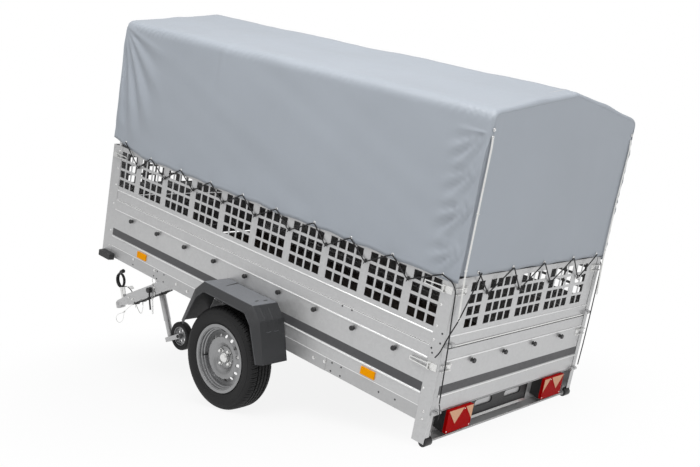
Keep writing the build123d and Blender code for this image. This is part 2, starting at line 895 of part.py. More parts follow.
for node, height in zip(("tailgate_catches", "mesh_gate_catches"), latch_heights):
    with BuildPart() as catches:
        add(catch(height))
        mirror(about=Plane.XZ)
    keep(catches, node, bed_pose)

# Front corner blocks
with BuildPart() as corner_blocks:
    with BuildSketch(Plane.XZ.offset(-half)):
        with Locations((bed_length - block_end - block_length / 2, block_low + block_height / 2)):
            RectangleRounded(block_length, block_height, block_round)
    extrude(amount=-block_depth, taper=4)
    mirror(about=Plane.XZ)
keep(corner_blocks, "corner_blocks", bed_pose)

# Cover
cover_half = half + cover_air
cover_rear = -cover_end


def cover_outline(inset, low):
    """Half of the cover's cross-section, from its hem over the eaves to the ridge."""
    side_y = cover_half - inset
    with BuildSketch(Plane.YZ.offset(cover_rear)) as outline:
        with BuildLine():
            Polyline((side_y, low), (side_y, cover_eaves - inset), (0, cover_ridge - inset),
                     (-side_y, cover_eaves - inset), (-side_y, low), close=True)
        make_face()
        fillet(outline.vertices().group_by(Axis.Y)[1], cover_round - inset)
    return outline.sketch


with BuildPart() as cover:
    extrude(cover_outline(-cover_sheet, cover_hem), amount=bed_length - 2 * cover_rear)
    extrude(cover_outline(0, cover_hem), amount=bed_length - 2 * cover_rear, mode=Mode.SUBTRACT)
keep(cover, "cover", bed_pose)

cover_panels = {
    "cover_rear": (0, cover_rear_hem),
    "cover_front": (bed_length - 2 * cover_rear - cover_sheet, cover_hem),
}
for node, (ahead, low) in cover_panels.items():
    with BuildPart() as panel:
        extrude(cover_outline(cover_air, low), amount=cover_sheet)
    pieces[node] = bed_pose * Pos(ahead, 0, 0) * panel.part

# Hoops that carry the cover: straight legs and bent bows
hoop_y = cover_half - hoop_r - cover_air
hoop_shoulder = cover_eaves - hoop_r - cover_air
hoop_ridge = cover_ridge - hoop_r - cover_air
leg_top = hoop_shoulder - cover_round
hoop_step = (bed_length - 2 * hoop_end) / (hoop_count - 1)
hoop_places = [hoop_end + index * hoop_step for index in range(hoop_count)]
with BuildPart() as legs:
    with BuildSketch(Plane.XY.offset(mesh_top)):
        with Locations(*[(place, hoop_y) for place in hoop_places]):
            Circle(hoop_r)
            Circle(hoop_r - hoop_wall, mode=Mode.SUBTRACT)
    extrude(amount=leg_top - mesh_top)
    mirror(about=Plane.XZ)
keep(legs, "cover_legs", bed_pose)

with BuildPart() as bows:
    for place in hoop_places:
        with BuildLine(Plane.YZ.offset(place)) as route:
            FilletPolyline((hoop_y, leg_top), (hoop_y, hoop_shoulder), (0, hoop_ridge),
                           (-hoop_y, hoop_shoulder), (-hoop_y, leg_top), radius=cover_round - 5)
        with BuildSketch(Plane.XY.offset(leg_top)):
            with Locations((place, hoop_y)):
                Circle(hoop_r)
        sweep(path=route.wires()[0])
keep(bows, "cover_bows", bed_pose)

# Drawbar, drawn along x from its pivot
with BuildPart() as drawbar:
    with BuildSketch(Plane.YZ.offset(-drawbar_tail)):
        Rectangle(drawbar_width, drawbar_height)
        Rectangle(drawbar_width - 2 * drawbar_wall, drawbar_height - 2 * drawbar_wall, mode=Mode.SUBTRACT)
    extrude(amount=drawbar_length + drawbar_tail)
    with BuildSketch(Plane.XZ):
        Circle(pivot_pin_r + pin_clearance)
    extrude(amount=drawbar_width, both=True, mode=Mode.SUBTRACT)
keep(drawbar, "drawbar", drawbar_pose)

# Ears and pin of the drawbar pivot
ear_y = drawbar_width / 2 + seat_gap + pivot_ear_gap
with BuildPart() as pivot_ears:
    with BuildSketch(Plane.XZ.offset(-ear_y)):
        with Locations((pivot_x, (frame_sheet + pivot_z - pivot_ear_drop) / 2)):
            Rectangle(pivot_ear_width, frame_sheet - pivot_z + pivot_ear_drop)
    extrude(amount=-pivot_ear)
    with BuildSketch(Plane.XZ):
        with Locations((pivot_x, pivot_z)):
            Circle(pivot_pin_r)
    extrude(amount=-(ear_y + pivot_ear + pivot_head))
    mirror(about=Plane.XZ)
keep(pivot_ears, "drawbar_pivot", bed_pose)

# Coupling head: a shank that narrows to the domed socket, and a lug for its lever
socket_x = drawbar_length + coupling_length - ball_r - coupling_wall
socket_out = ball_r + coupling_wall
lug_x = socket_x - lug_back
with BuildPart() as coupling:
    with BuildSketch(Plane.YZ.offset(drawbar_length)):
        Rectangle(drawbar_width, coupling_shank)
    with BuildSketch(Plane.YZ.offset(socket_x)):
        Rectangle(2 * ball_r, coupling_nose)
    loft()
    with BuildSketch(Plane.XZ):
        with Locations((lug_x, 0)):
            Rectangle(lug_length, lug_top, align=(Align.CENTER, Align.MIN))
    extrude(amount=lug_width / 2, both=True)
    with BuildSketch(Plane.XZ):
        with BuildLine():
            Polyline(
                (socket_x, dome_top), (socket_x, socket_mouth), (socket_x + socket_out, socket_mouth),
                (socket_x + socket_out, dome_shoulder))
            SagittaArc((socket_x + socket_out, dome_shoulder), (socket_x, dome_top), -7)
        make_face()
    revolve(axis=Axis((socket_x, 0, 0), (0, 0, 1)))
    with BuildSketch(Plane.XY.offset(socket_mouth)):
        with Locations((socket_x, 0)):
            Circle(ball_r + ball_clearance)
    extrude(amount=socket_length, mode=Mode.SUBTRACT)
keep(coupling, "coupling_head", drawbar_pose)

# Release lever: two cheeks beside the lug, and a handle that runs back over them
lever_pin_z = lug_top - 3 * lever_pin_r
lever_top = lever_pin_z + lever_rise
cheek_y = lug_width / 2 + lever_air
with BuildPart() as lever:
    for side in (1, -1):
        with BuildSketch(Plane.XZ.offset(-side * cheek_y)):
            with BuildLine():
                Polyline(
                    (lug_x - lug_length / 3, lever_pin_z - 2 * lever_pin_r),
                    (lug_x + lug_length / 3, lever_pin_z - 2 * lever_pin_r),
                    (lug_x + lug_length / 4, lever_top), (lug_x - lug_length / 2, lever_top), close=True)
            make_face()
        extrude(amount=-side * lever_sheet)
    with BuildSketch(Plane.XZ):
        with BuildLine():
            Polyline(
                (lug_x + lug_length / 4, lever_top), (lug_x - lug_length / 2, lever_top),
                (lug_x - lever_length, lever_top - lever_drop / 2),
                (lug_x - lever_length - lever_drop / 2, lever_top - 1.5 * lever_drop))
            offset(amount=lever_sheet, side=Side.LEFT)
        make_face()
    extrude(amount=cheek_y + lever_sheet, both=True)
keep(lever, "coupling_lever", drawbar_pose)

# Jockey: everything below is drawn along the outer tube, z up the tube
jockey_y = -(drawbar_width / 2 + jockey_side_gap + outer_tube_r)
jockey_pose = drawbar_pose * Location((jockey_x, jockey_y, 0))
lean = drawbar_angle - tilt

# The foot's height puts the jockey wheel on the floor
pivot_height = lift + pivot_x * sin(radians(tilt)) + pivot_z * cos(radians(tilt))
clamp_rise = pivot_height - jockey_x * sin(radians(lean))
wheel_rise = jockey_trail * sin(radians(lean)) - jockey_axle_drop * cos(radians(lean))
foot_z = -(clamp_rise + wheel_rise - jockey_wheel_r) / cos(radians(lean))
outer_tube_low = foot_z + jockey_lift + fork_air

# Clamp: a ring and a foot on the drawbar's side, with two ears for its screw
clamp_r = outer_tube_r + clamp_wall
with BuildPart() as clamp:
    with BuildSketch(Plane.XY.offset(-clamp_height / 2)):
        Circle(clamp_r)
        with Locations((0, clamp_r / 2)):
            Rectangle(2 * clamp_r, clamp_r)
        with Locations((0, -clamp_r)):
            Rectangle(3 * clamp_wall, 2 * clamp_ear)
        with Locations((0, -clamp_r - clamp_ear / 2)):
            Rectangle(clamp_wall, clamp_ear, mode=Mode.SUBTRACT)
        Circle(outer_tube_r + pin_clearance, mode=Mode.SUBTRACT)
    extrude(amount=clamp_height)
keep(clamp, "jockey_clamp", jockey_pose)

with BuildPart() as outer_tube:
    with BuildSketch(Plane.XY.offset(outer_tube_low)):
        Circle(outer_tube_r)
        Circle(outer_tube_r - outer_tube_wall, mode=Mode.SUBTRACT)
    extrude(amount=outer_tube_top - outer_tube_low)
keep(outer_tube, "jockey_tube", jockey_pose)

crank_z = outer_tube_top + crank_cap + crank_post
with BuildPart() as crank:
    with BuildSketch(Plane.XY.offset(outer_tube_top)):
        Circle(outer_tube_r)
    extrude(amount=crank_cap)
    with BuildSketch(Plane.XY.offset(outer_tube_top + crank_cap)):
        Circle(crank_post_r)
    extrude(amount=crank_post)
    with BuildSketch(Plane.XY.offset(crank_z)):
        with Locations((crank_reach / 2, 0)):
            SlotCenterToCenter(crank_reach, crank_bar)
    extrude(amount=crank_sheet)
    with BuildSketch(Plane.XY.offset(crank_z + crank_sheet)):
        with Locations((crank_reach, 0)):
            Circle(grip_r)
    extrude(amount=grip_length)
keep(crank, "jockey_crank", jockey_pose)

with BuildPart() as inner_tube:
    with BuildSketch(Plane.XY.offset(foot_z)):
        Circle(inner_tube_r)
    extrude(amount=outer_tube_top - inner_tube_back - foot_z)
    with BuildSketch(Plane.XY.offset(foot_z)):
        Circle(kingpin_r)
    extrude(amount=-kingpin_length)
keep(inner_tube, "jockey_leg", jockey_pose)

# Fork: a crown under the tube and two arms that trail back to the axle
fork_pose = jockey_pose * Location((0, 0, foot_z))
arm_y = jockey_wheel_width / 2 + fork_gap
with BuildPart() as fork:
    with BuildSketch(Plane.XY.offset(-seat_gap)):
        Rectangle(2 * inner_tube_r, 2 * (arm_y + fork_plate))
        Circle(kingpin_r + pin_clearance, mode=Mode.SUBTRACT)
    extrude(amount=-fork_crown)
    for side in (1, -1):
        with BuildSketch(Plane.XZ.offset(-side * arm_y)):
            with BuildLine():
                Polyline(
                    (inner_tube_r, -seat_gap), (-inner_tube_r, -seat_gap),
                    (-jockey_trail, fork_arm / 2 - jockey_axle_drop),
                    (-jockey_trail, -fork_arm / 2 - jockey_axle_drop),
                    (-inner_tube_r, -fork_crown - seat_gap),
                    (inner_tube_r, -fork_crown - seat_gap), close=True)
            make_face()
            with Locations((-jockey_trail, -jockey_axle_drop)):
                Circle(fork_arm / 2)
        extrude(amount=-side * fork_plate)
    with BuildSketch(Plane.XZ):
        with Locations((-jockey_trail, -jockey_axle_drop)):
            Circle(kingpin_r)
    extrude(amount=arm_y + fork_plate, both=True)
keep(fork, "jockey_fork", fork_pose)

jockey_wheel_pose = fork_pose * Location((0, 0, -jockey_axle_drop))
jockey_axle = Axis((-jockey_trail, 0, 0), (0, 1, 0))
rim_half = jockey_wheel_width / 2 - 5
jockey_bore = kingpin_r + pin_clearance
with BuildPart() as jockey_rim:
    with BuildSketch(Plane.YZ.offset(-jockey_trail)):
        with BuildLine():
            Polyline(
                (0, jockey_bore), (jockey_hub_half, jockey_bore), (jockey_hub_half, jockey_hub_r - 2),
                (jockey_web, jockey_hub_r), (jockey_web, jockey_rim_r - 10), (rim_half, jockey_rim_r - 4),
                (rim_half, jockey_rim_r), (0, jockey_rim_r))
            mirror(about=Plane.YZ)
        make_face()
    revolve(axis=jockey_axle)
    with BuildSketch(Plane.XZ):
        with Locations((-jockey_trail, 0)):
            with PolarLocations((jockey_hub_r + jockey_rim_r - 10) / 2, jockey_hole_count):
                Circle(jockey_hole_r)
    extrude(amount=jockey_wheel_width, both=True, mode=Mode.SUBTRACT)
keep(jockey_rim, "jockey_rim", jockey_wheel_pose)

with BuildPart() as jockey_tyre:
    with BuildSketch(Plane.YZ.offset(-jockey_trail)):
        with Locations((0, (jockey_rim_r + jockey_wheel_r) / 2)):
            RectangleRounded(jockey_wheel_width, jockey_wheel_r - jockey_rim_r, jockey_tread_round)
    revolve(axis=jockey_axle)
keep(jockey_tyre, "jockey_tyre", jockey_wheel_pose)

# The origin is on the floor, under the middle of the whole trailer
boxes = [piece.bounding_box() for piece in pieces.values()]
origin_x = (min(box.min.X for box in boxes) + max(box.max.X for box in boxes)) / 2
origin_y = (min(box.min.Y for box in boxes) + max(box.max.Y for box in boxes)) / 2
to_origin = Location((-origin_x, -origin_y, 0))
for node, piece in pieces.items():
    piece = piece.moved(to_origin)
    piece.label = node
    export_step(piece, f"parts/{node}.step")
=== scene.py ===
"""Looks of a tipped utility trailer with mesh sides and a high fabric cover.

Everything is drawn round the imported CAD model, which is loaded as a fixed frame.
Lengths are in metres. Most pieces are drawn in the bed's own frame: x forward from
the rear face, y to the left, z up from the bottom edge of the side rail.
"""

import json
from functools import cache
from math import atan2, ceil, cos, hypot, pi, radians, sin, tau

import bmesh
import bpy
import numpy as np
from bpy.props import FloatProperty, FloatVectorProperty, PointerProperty
from mathutils import Matrix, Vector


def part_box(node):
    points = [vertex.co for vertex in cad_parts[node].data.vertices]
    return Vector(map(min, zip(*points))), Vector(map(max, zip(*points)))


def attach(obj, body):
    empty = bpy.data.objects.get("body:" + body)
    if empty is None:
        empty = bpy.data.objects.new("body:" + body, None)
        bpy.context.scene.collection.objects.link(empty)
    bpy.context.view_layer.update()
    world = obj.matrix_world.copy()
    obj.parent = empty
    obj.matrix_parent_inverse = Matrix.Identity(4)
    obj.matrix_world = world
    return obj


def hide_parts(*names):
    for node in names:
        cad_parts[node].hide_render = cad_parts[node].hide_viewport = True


bl_info = {
    "name": "Tipped utility trailer",
    "version": (1, 0, 0),
    "blender": (4, 5, 0),
    "location": "View3D > Sidebar > Trailer",
    "description": "Builds the looks of a covered utility trailer around its CAD frame",
    "category": "Object",
}

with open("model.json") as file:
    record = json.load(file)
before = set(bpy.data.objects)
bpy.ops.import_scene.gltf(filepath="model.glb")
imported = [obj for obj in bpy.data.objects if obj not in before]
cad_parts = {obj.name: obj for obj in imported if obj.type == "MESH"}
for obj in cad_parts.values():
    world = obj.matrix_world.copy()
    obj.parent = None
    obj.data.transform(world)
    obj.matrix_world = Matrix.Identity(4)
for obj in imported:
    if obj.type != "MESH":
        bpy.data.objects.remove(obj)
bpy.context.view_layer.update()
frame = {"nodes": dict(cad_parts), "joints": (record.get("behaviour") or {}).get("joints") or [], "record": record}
JOINTS = {joint["name"]: joint for joint in frame["joints"]}

# Directions in any frame
AHEAD, BACK = (1, 0, 0), (-1, 0, 0)
OUT, RISE = (0, 1, 0), (0, 0, 1)

# Vertices closer than this are one
DOUBLES = 1e-5


class Place:
    """A right-handed frame in the row, from its origin, its x axis and its z axis."""

    def __init__(self, origin, ahead, up):
        ahead, up = np.array(ahead, float), np.array(up, float)
        self.origin = np.array(origin, float)
        self.axes = np.array([ahead, np.cross(up, ahead), up])

    def __call__(self, points):
        """Points of this frame, given in the row."""
        return np.asarray(points, float) @ self.axes + self.origin

    def turned(self, up):
        """A frame at the same origin whose z axis lies along up, given in this frame."""
        up = np.array(up, float) / np.linalg.norm(up)
        across = np.array(OUT if abs(up[1]) < 0.9 else AHEAD, float)
        return Place(self.origin, np.cross(across, up) @ self.axes, up @ self.axes)

    def moved(self, x, y, z):
        """The same axes at another origin of this frame."""
        return Place(self((x, y, z)), self.axes[0], self.axes[2])


def upright(origin, up):
    """A frame at origin whose z axis is up, turned about y alone."""
    up = np.array(up, float) / np.linalg.norm(up)
    return Place(origin, (up[2], 0, -up[0]), up)


def hinge(name):
    """Where a joint lies in the row."""
    return np.array(JOINTS[name]["pos_m"], float)


# The two gate hinges lie one above the other, 9 mm behind the bed's rear face
HINGE_BACK = 0.009
TAILGATE_HINGE_Z = 0.054
_bed_up = hinge("mesh_gate_hinge") - hinge("tailgate_hinge")
_at_hinge = upright(hinge("tailgate_hinge"), _bed_up)
BED = _at_hinge.moved(HINGE_BACK, 0, -TAILGATE_HINGE_Z)
_socket = next(m for m in frame["record"]["mounts"] if m["name"] == "coupling_socket")
DRAWBAR = upright(hinge("drawbar_hinge"), -np.array(_socket["axis"]))
AXLE = hinge("wheel_left_spin")
AXLE_PLACE = Place(AXLE, AHEAD, RISE)
ROW = Place((0, 0, 0), AHEAD, RISE)

# Sizes of the frame that the looks line up with, in the bed's frame
BED_LENGTH = 2.650
HALF_WIDTH = 0.650
RIB_PITCH = 0.264
REAR_POST = 0.071
FRONT_EDGE = 2.560
MESH_CENTRE = (REAR_POST + FRONT_EDGE) / 2
SIDE_RIBS = MESH_CENTRE + RIB_PITCH * (np.arange(9) - 4)


# ---- Properties -------------------------------------------------------------------


def colour(name, description, default):
    """A colour swatch of the panel."""
    return FloatVectorProperty(
        name=name, description=description, subtype="COLOR", size=3, min=0, max=1,
        default=default)


def length(name, description, default):
    """A length in metres of the panel."""
    return FloatProperty(
        name=name, description=description, default=default, min=0, subtype="DISTANCE",
        unit="LENGTH", precision=4)


class TrailerColours(bpy.types.PropertyGroup):
    """Colours of the trailer's finishes, as linear values."""

    zinc: colour("Galvanised steel", "Sheet, posts and drawbar", (0.60, 0.602, 0.606))
    # Painted highlight: the colour that beads and edges of the zinc are lightened to
    worn: colour("Painted bead highlight", "Beads and edges that are rubbed bright", (0.93, 0.93, 0.93))
    bright: colour("Bright zinc", "Bolts, latches and eyelets", (0.80, 0.80, 0.79))
    stripe: colour("Stripe", "Dark band along the walls", (0.068, 0.068, 0.072))
    cover: colour("Cover", "Coated cloth of the high cover", (0.362, 0.395, 0.440))
    guard: colour("Mudguard", "Moulded plastic of the mudguards", (0.026, 0.027, 0.029))
    # Also the painted shade of holes, slots and grooves
    plastic: colour("Black plastic", "Lamp cases, knobs and blocks", (0.016, 0.016, 0.017))
    tyre: colour("Tyre", "Tread and sidewalls", (0.009, 0.009, 0.0095))
    rim: colour("Rim", "Painted road wheels", (0.315, 0.317, 0.321))
    red: colour("Lamp red", "Rear lamp lenses", (0.46, 0.0008, 0.0015))
    amber: colour("Amber", "Side reflectors", (1.0, 0.38, 0.001))
    pale: colour("Lamp triangle", "Pale triangles of the rear lamps", (0.86, 0.50, 0.32))
    board: colour("Floor board", "Coated plywood floor", (0.075, 0.050, 0.035))
    webbing: colour("Strap", "White straps of the rear corners", (0.82, 0.82, 0.80))


class TrailerSizes(bpy.types.PropertyGroup):
    """Sizes of the pieces that are drawn here."""

    cloth: length("Cloth thickness", "Thickness of the cover", 0.0012)
    sag: length("Roof sag", "How far the roof cloth sinks between its hoops", 0.007)
    fold: length("Corner folds", "Height of the folds at the cover's corners", 0.010)
    pucker: length("Eaves puckers", "Height of the gathers along the eaves", 0.0035)
    eyelet: length("Eyelet radius", "Outer radius of a hem eyelet", 0.0085)
    elastic: length("Elastic", "Thickness of the black elastic cord", 0.006)
    strap: length("Strap", "Width of the white corner strap", 0.014)
    tread: length("Tread depth", "Depth of the tyre's grooves", 0.007)
    bolt: length("Bolt head", "Width across a bolt head's flats", 0.019)


class TrailerStudio(bpy.types.PropertyGroup):
    """Light of the studio."""

    sky: FloatProperty(
        name="Sky", description="Strength of the even light", default=0.80, min=0)
    key: FloatProperty(
        name="Key lamp", description="Power of the soft lamp above", default=165, min=0,
        subtype="POWER", unit="POWER")
    fill: FloatProperty(
        name="Fill lamp", description="Power of the lamp behind the bed", default=60,
        min=0, subtype="POWER", unit="POWER")


def colours():
    return bpy.context.scene.trailer_colours


def sizes():
    return bpy.context.scene.trailer_sizes


def shade(key, share=1.0):
    """A colour of the panel, made lighter or darker."""
    return tuple(min(1.0, c * share) for c in getattr(colours(), key))


# ---- Meshes as arrays -------------------------------------------------------------


class Shape:
    """Points, faces and one UV per point, as arrays. Faces are a list of (n, k) arrays."""

    def __init__(self, points, faces, uv=None):
        self.points = np.asarray(points, float).reshape(-1, 3)
        self.faces = [np.asarray(f, int) for f in faces]
        self.uv = np.zeros((len(self.points), 2)) if uv is None else np.asarray(uv, float)

    def __add__(self, other):
        return together([self, other])

    def at(self, place):
        """The same shape carried into the frame that place is drawn in."""
        return Shape(place(self.points), self.faces, self.uv)

    def scaled(self, x, y, z):
        """Every point times (x, y, z)."""
        return Shape(self.points * (x, y, z), self.faces, self.uv)

    def shifted(self, x, y, z):
        """Every point plus (x, y, z)."""
        return Shape(self.points + (x, y, z), self.faces, self.uv)

    def mirrored(self):
        """This shape and its image on the other side of the bed."""
        return self + self.scaled(1, -1, 1)


def together(shapes):
    """One shape from many."""
    shapes = list(shapes)
    start = np.cumsum([0] + [len(s.points) for s in shapes[:-1]])
    return Shape(
        np.vstack([s.points for s in shapes]),
        [f + shift for s, shift in zip(shapes, start) for f in s.faces],
        np.vstack([s.uv for s in shapes]))


def grid(points, around=False, uv=None):
    """Quads over an (m, n, 3) array of points. Around joins the last column to the first."""
    points = np.asarray(points, float)
    m, n = points.shape[:2]
    index = np.arange(m * n).reshape(m, n)
    if around:
        index = np.hstack([index, index[:, :1]])
    quads = np.stack(
        [index[:-1, :-1], index[1:, :-1], index[1:, 1:], index[:-1, 1:]], axis=-1)
    return Shape(
        points.reshape(-1, 3), [quads.reshape(-1, 4)],
        None if uv is None else np.asarray(uv).reshape(-1, 2))


def lathe(profile, sides):
    """A profile of (radius, height) turned about z: x = r cos a, y = r sin a, z = h.
    A radius of 0 closes an end once doubles are merged."""
    profile = np.asarray(profile, float)
    turn = np.arange(sides) * tau / sides
    r, h = profile[:, :1], profile[:, 1:]
    points = np.stack([r * np.cos(turn), r * np.sin(turn), h + 0 * turn], axis=-1)
    return grid(points, around=True)


def capped(rings):
    """A skin round (m, n, 3) closed rings of points, with a face across each end."""
    wall = grid(rings, around=True)
    last, n = len(rings) - 1, len(rings[0])
    ends = [np.arange(n)[None, ::-1], last * n + np.arange(n)[None, :]]
    return Shape(wall.points, wall.faces + ends)


def plate(outline, low, high, chamfer=0.0):
    """A flat outline of (x, y) stood up from low to high, its two rims chamfered by
    drawing the end outlines in along each corner's bisector."""
    outline = np.asarray(outline, float)
    before, after = np.roll(outline, 1, 0) - outline, np.roll(outline, -1, 0) - outline
    before /= np.linalg.norm(before, axis=1, keepdims=True)
    after /= np.linalg.norm(after, axis=1, keepdims=True)
    area = np.cross(outline, np.roll(outline, -1, 0)).sum()
    bisector = after - before
    normal = np.stack([-bisector[:, 1], bisector[:, 0]], 1)
    normal /= np.linalg.norm(normal, axis=1, keepdims=True) + 1e-12
    inner = outline + normal * chamfer * np.sign(area)
    rings = [(inner, low), (outline, low + chamfer), (outline, high - chamfer), (inner, high)]
    if chamfer == 0:
        rings = [(outline, low), (outline, high)]
    return capped(
        np.array([np.column_stack([ring, np.full(len(ring), z)]) for ring, z in rings]))


def ring_of(count, radius, turn=0.0):
    """Corners of a regular polygon."""
    a = turn + np.arange(count) * tau / count
    return radius * np.column_stack([np.cos(a), np.sin(a)])


def rounded_box(x, y, r, steps=4):
    """Outline of a rectangle x by y, its corners rounded by r."""
    a = np.linspace(0, pi / 2, steps + 1)
    corner = r * np.column_stack([np.cos(a), np.sin(a)])
    quarters = []
    for turn, (sx, sy) in enumerate(((1, 1), (-1, 1), (-1, -1), (1, -1))):
        c, s = cos(turn * pi / 2), sin(turn * pi / 2)
        centre = (sx * (x / 2 - r), sy * (y / 2 - r))
        quarters.append(corner @ np.array([[c, s], [-s, c]]) + centre)
    return np.vstack(quarters)


def rounded_line(corners, radius, step=0.004):
    """A polyline whose corners are replaced by parabolic arcs that start radius before
    each corner: B(t) = (1-t)^2 a + 2 t (1-t) c + t^2 b. Long runs are cut by step."""
    corners = np.asarray(corners, float)
    t = np.linspace(0, 1, 9)[:, None]
    line = [corners[:1]]
    for before, corner, after in zip(corners[:-2], corners[1:-1], corners[2:]):
        back, on = before - corner, after - corner
        reach = min(radius, 0.49 * np.linalg.norm(back), 0.49 * np.linalg.norm(on))
        a = corner + back * reach / np.linalg.norm(back)
        b = corner + on * reach / np.linalg.norm(on)
        line.append((1 - t) ** 2 * a + 2 * t * (1 - t) * corner + t**2 * b)
    line.append(corners[-1:])
    return spaced(np.vstack(line), step)


def arc_of(line):
    """The arc length from a line's start to each of its points."""
    return np.concatenate([[0], np.cumsum(np.linalg.norm(np.diff(line, axis=0), axis=1))])


def spaced(line, step):
    """A line resampled at even steps of arc length."""
    run = arc_of(line)
    keep = np.concatenate([[True], np.diff(run) > 1e-9])
    count = max(2, int(ceil(run[-1] / step)) + 1)
    return np.stack(
        [np.interp(np.linspace(0, run[-1], count), run[keep], line[keep, k])
         for k in range(line.shape[1])], axis=1)


def frames_along(line, up):
    """Side and up vectors along a line, turned as little as possible from point to
    point: each frame is the last one less its part along the new tangent."""
    tangent = np.gradient(line, axis=0)
    tangent /= np.linalg.norm(tangent, axis=1, keepdims=True)
    up = np.array(up, float)
    if abs(tangent[0] @ up) > 0.9 * np.linalg.norm(up):
        up = np.array(AHEAD, float)
    ups = []
    for t in tangent:
        up = up - (up @ t) * t
        up /= np.linalg.norm(up)
        ups.append(up)
    ups = np.array(ups)
    return np.cross(tangent, ups), ups


def tube(line, radius, sides, up=RISE):
    """A round section carried along a line: p + r (side cos a + up sin a). Its ends are
    closed by a point in their middle."""
    line = np.asarray(line, float)
    side, ups = frames_along(line, up)
    a = np.arange(sides) * tau / sides
    ring = side[:, None] * np.cos(a)[:, None] + ups[:, None] * np.sin(a)[:, None]
    points = line[:, None] + radius * ring
    points = np.concatenate([
        np.repeat(line[:1, None], sides, 1), points, np.repeat(line[-1:, None], sides, 1)])
    return grid(points, around=True)


def carried(profile, line, up=RISE):
    """A closed flat profile of (side, up) carried along a line, its ends closed."""
    line, profile = np.asarray(line, float), np.asarray(profile, float)
    side, ups = frames_along(line, up)
    return capped(line[:, None] + side[:, None] * profile[:, :1] + ups[:, None] * profile[:, 1:])


def copies(shape, points, up, ahead):
    """A copy of the shape at each point, its z axis along up and its x axis ahead."""
    return together(shape.at(Place(point, ahead, up)) for point in points)


def smooth(value, low, high):
    """0 below low, 1 above high, and 3t^2 - 2t^3 between."""
    t = np.clip((value - low) / (high - low), 0, 1)
    return t * t * (3 - 2 * t)


def piece(name, body, finish, shape, place=BED, sharp=35, thickness=0.0):
    """Puts a shape into the scene as a piece that rides on a body: doubles are merged,
    faces turned outwards, and edges sharper than the angle stay sharp."""
    mesh = bpy.data.meshes.new(name)
    faces = [tuple(row) for rows in shape.faces for row in rows.tolist()]
    mesh.from_pydata(place(shape.points).tolist(), [], faces)
    if shape.uv.any():
        corner = np.empty(len(mesh.loops), np.int32)
        mesh.loops.foreach_get("vertex_index", corner)
        layer = mesh.uv_layers.new(name="UVMap")
        layer.data.foreach_set("uv", shape.uv[corner].astype(np.float32).ravel())
    bm = bmesh.new()
    bm.from_mesh(mesh)
    bmesh.ops.remove_doubles(bm, verts=bm.verts, dist=DOUBLES)
    bmesh.ops.dissolve_degenerate(bm, dist=DOUBLES / 10, edges=bm.edges)
    bmesh.ops.recalc_face_normals(bm, faces=bm.faces)
    bm.to_mesh(mesh)
    bm.free()
    mesh.shade_smooth()
    mesh.set_sharp_from_angle(angle=radians(sharp))
    obj = bpy.data.objects.new(name, mesh)
    bpy.context.scene.collection.objects.link(obj)
    mesh.materials.append(finish)
    if thickness:
        solid = obj.modifiers.new("Thickness", "SOLIDIFY")
        solid.thickness, solid.offset = thickness, -1
    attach(obj, body)
    return obj


# ---- Shader maths -----------------------------------------------------------------


class Wire:
    """A shader's socket. Operators on it add Math nodes."""

    def __init__(self, finish, socket):
        self.finish, self.socket = finish, socket

    def maths(self, operation, *values):
        """Adds a Math node."""
        return self.finish.node("ShaderNodeMath", {"operation": operation}, *values)

    def __add__(self, other):
        return self.maths("ADD", self, other)

    def __sub__(self, other):
        return self.maths("SUBTRACT", self, other)

    def __rsub__(self, other):
        return self.maths("SUBTRACT", other, self)

    def __mul__(self, other):
        return self.maths("MULTIPLY", self, other)

    __radd__ = __add__
    __rmul__ = __mul__

    def __abs__(self):
        return self.maths("ABSOLUTE", self)

    def __pow__(self, other):
        return self.maths("POWER", self, other)

    def above(self, low, high):
        """0 below low, 1 above high and smooth between."""
        return self.finish.node(
            "ShaderNodeMapRange", {"interpolation_type": "SMOOTHSTEP"}, self, low, high, 0, 1)

    def between(self, low, high, soft):
        """1 between low and high, with soft edges."""
        return self.above(low - soft, low + soft) * (1 - self.above(high - soft, high + soft))

    def wave(self, pitch):
        """A sine of this length, from 0 to 1."""
        return self.maths("SINE", self * (tau / pitch)) * 0.5 + 0.5

    def highest(self, other):
        """The greater of two values."""
        return self.maths("MAXIMUM", self, other)

    def share(self, pitch):
        """How far along its own step of this pitch a value lies, from 0 to 1."""
        return self.maths("FRACT", self * (1 / pitch))


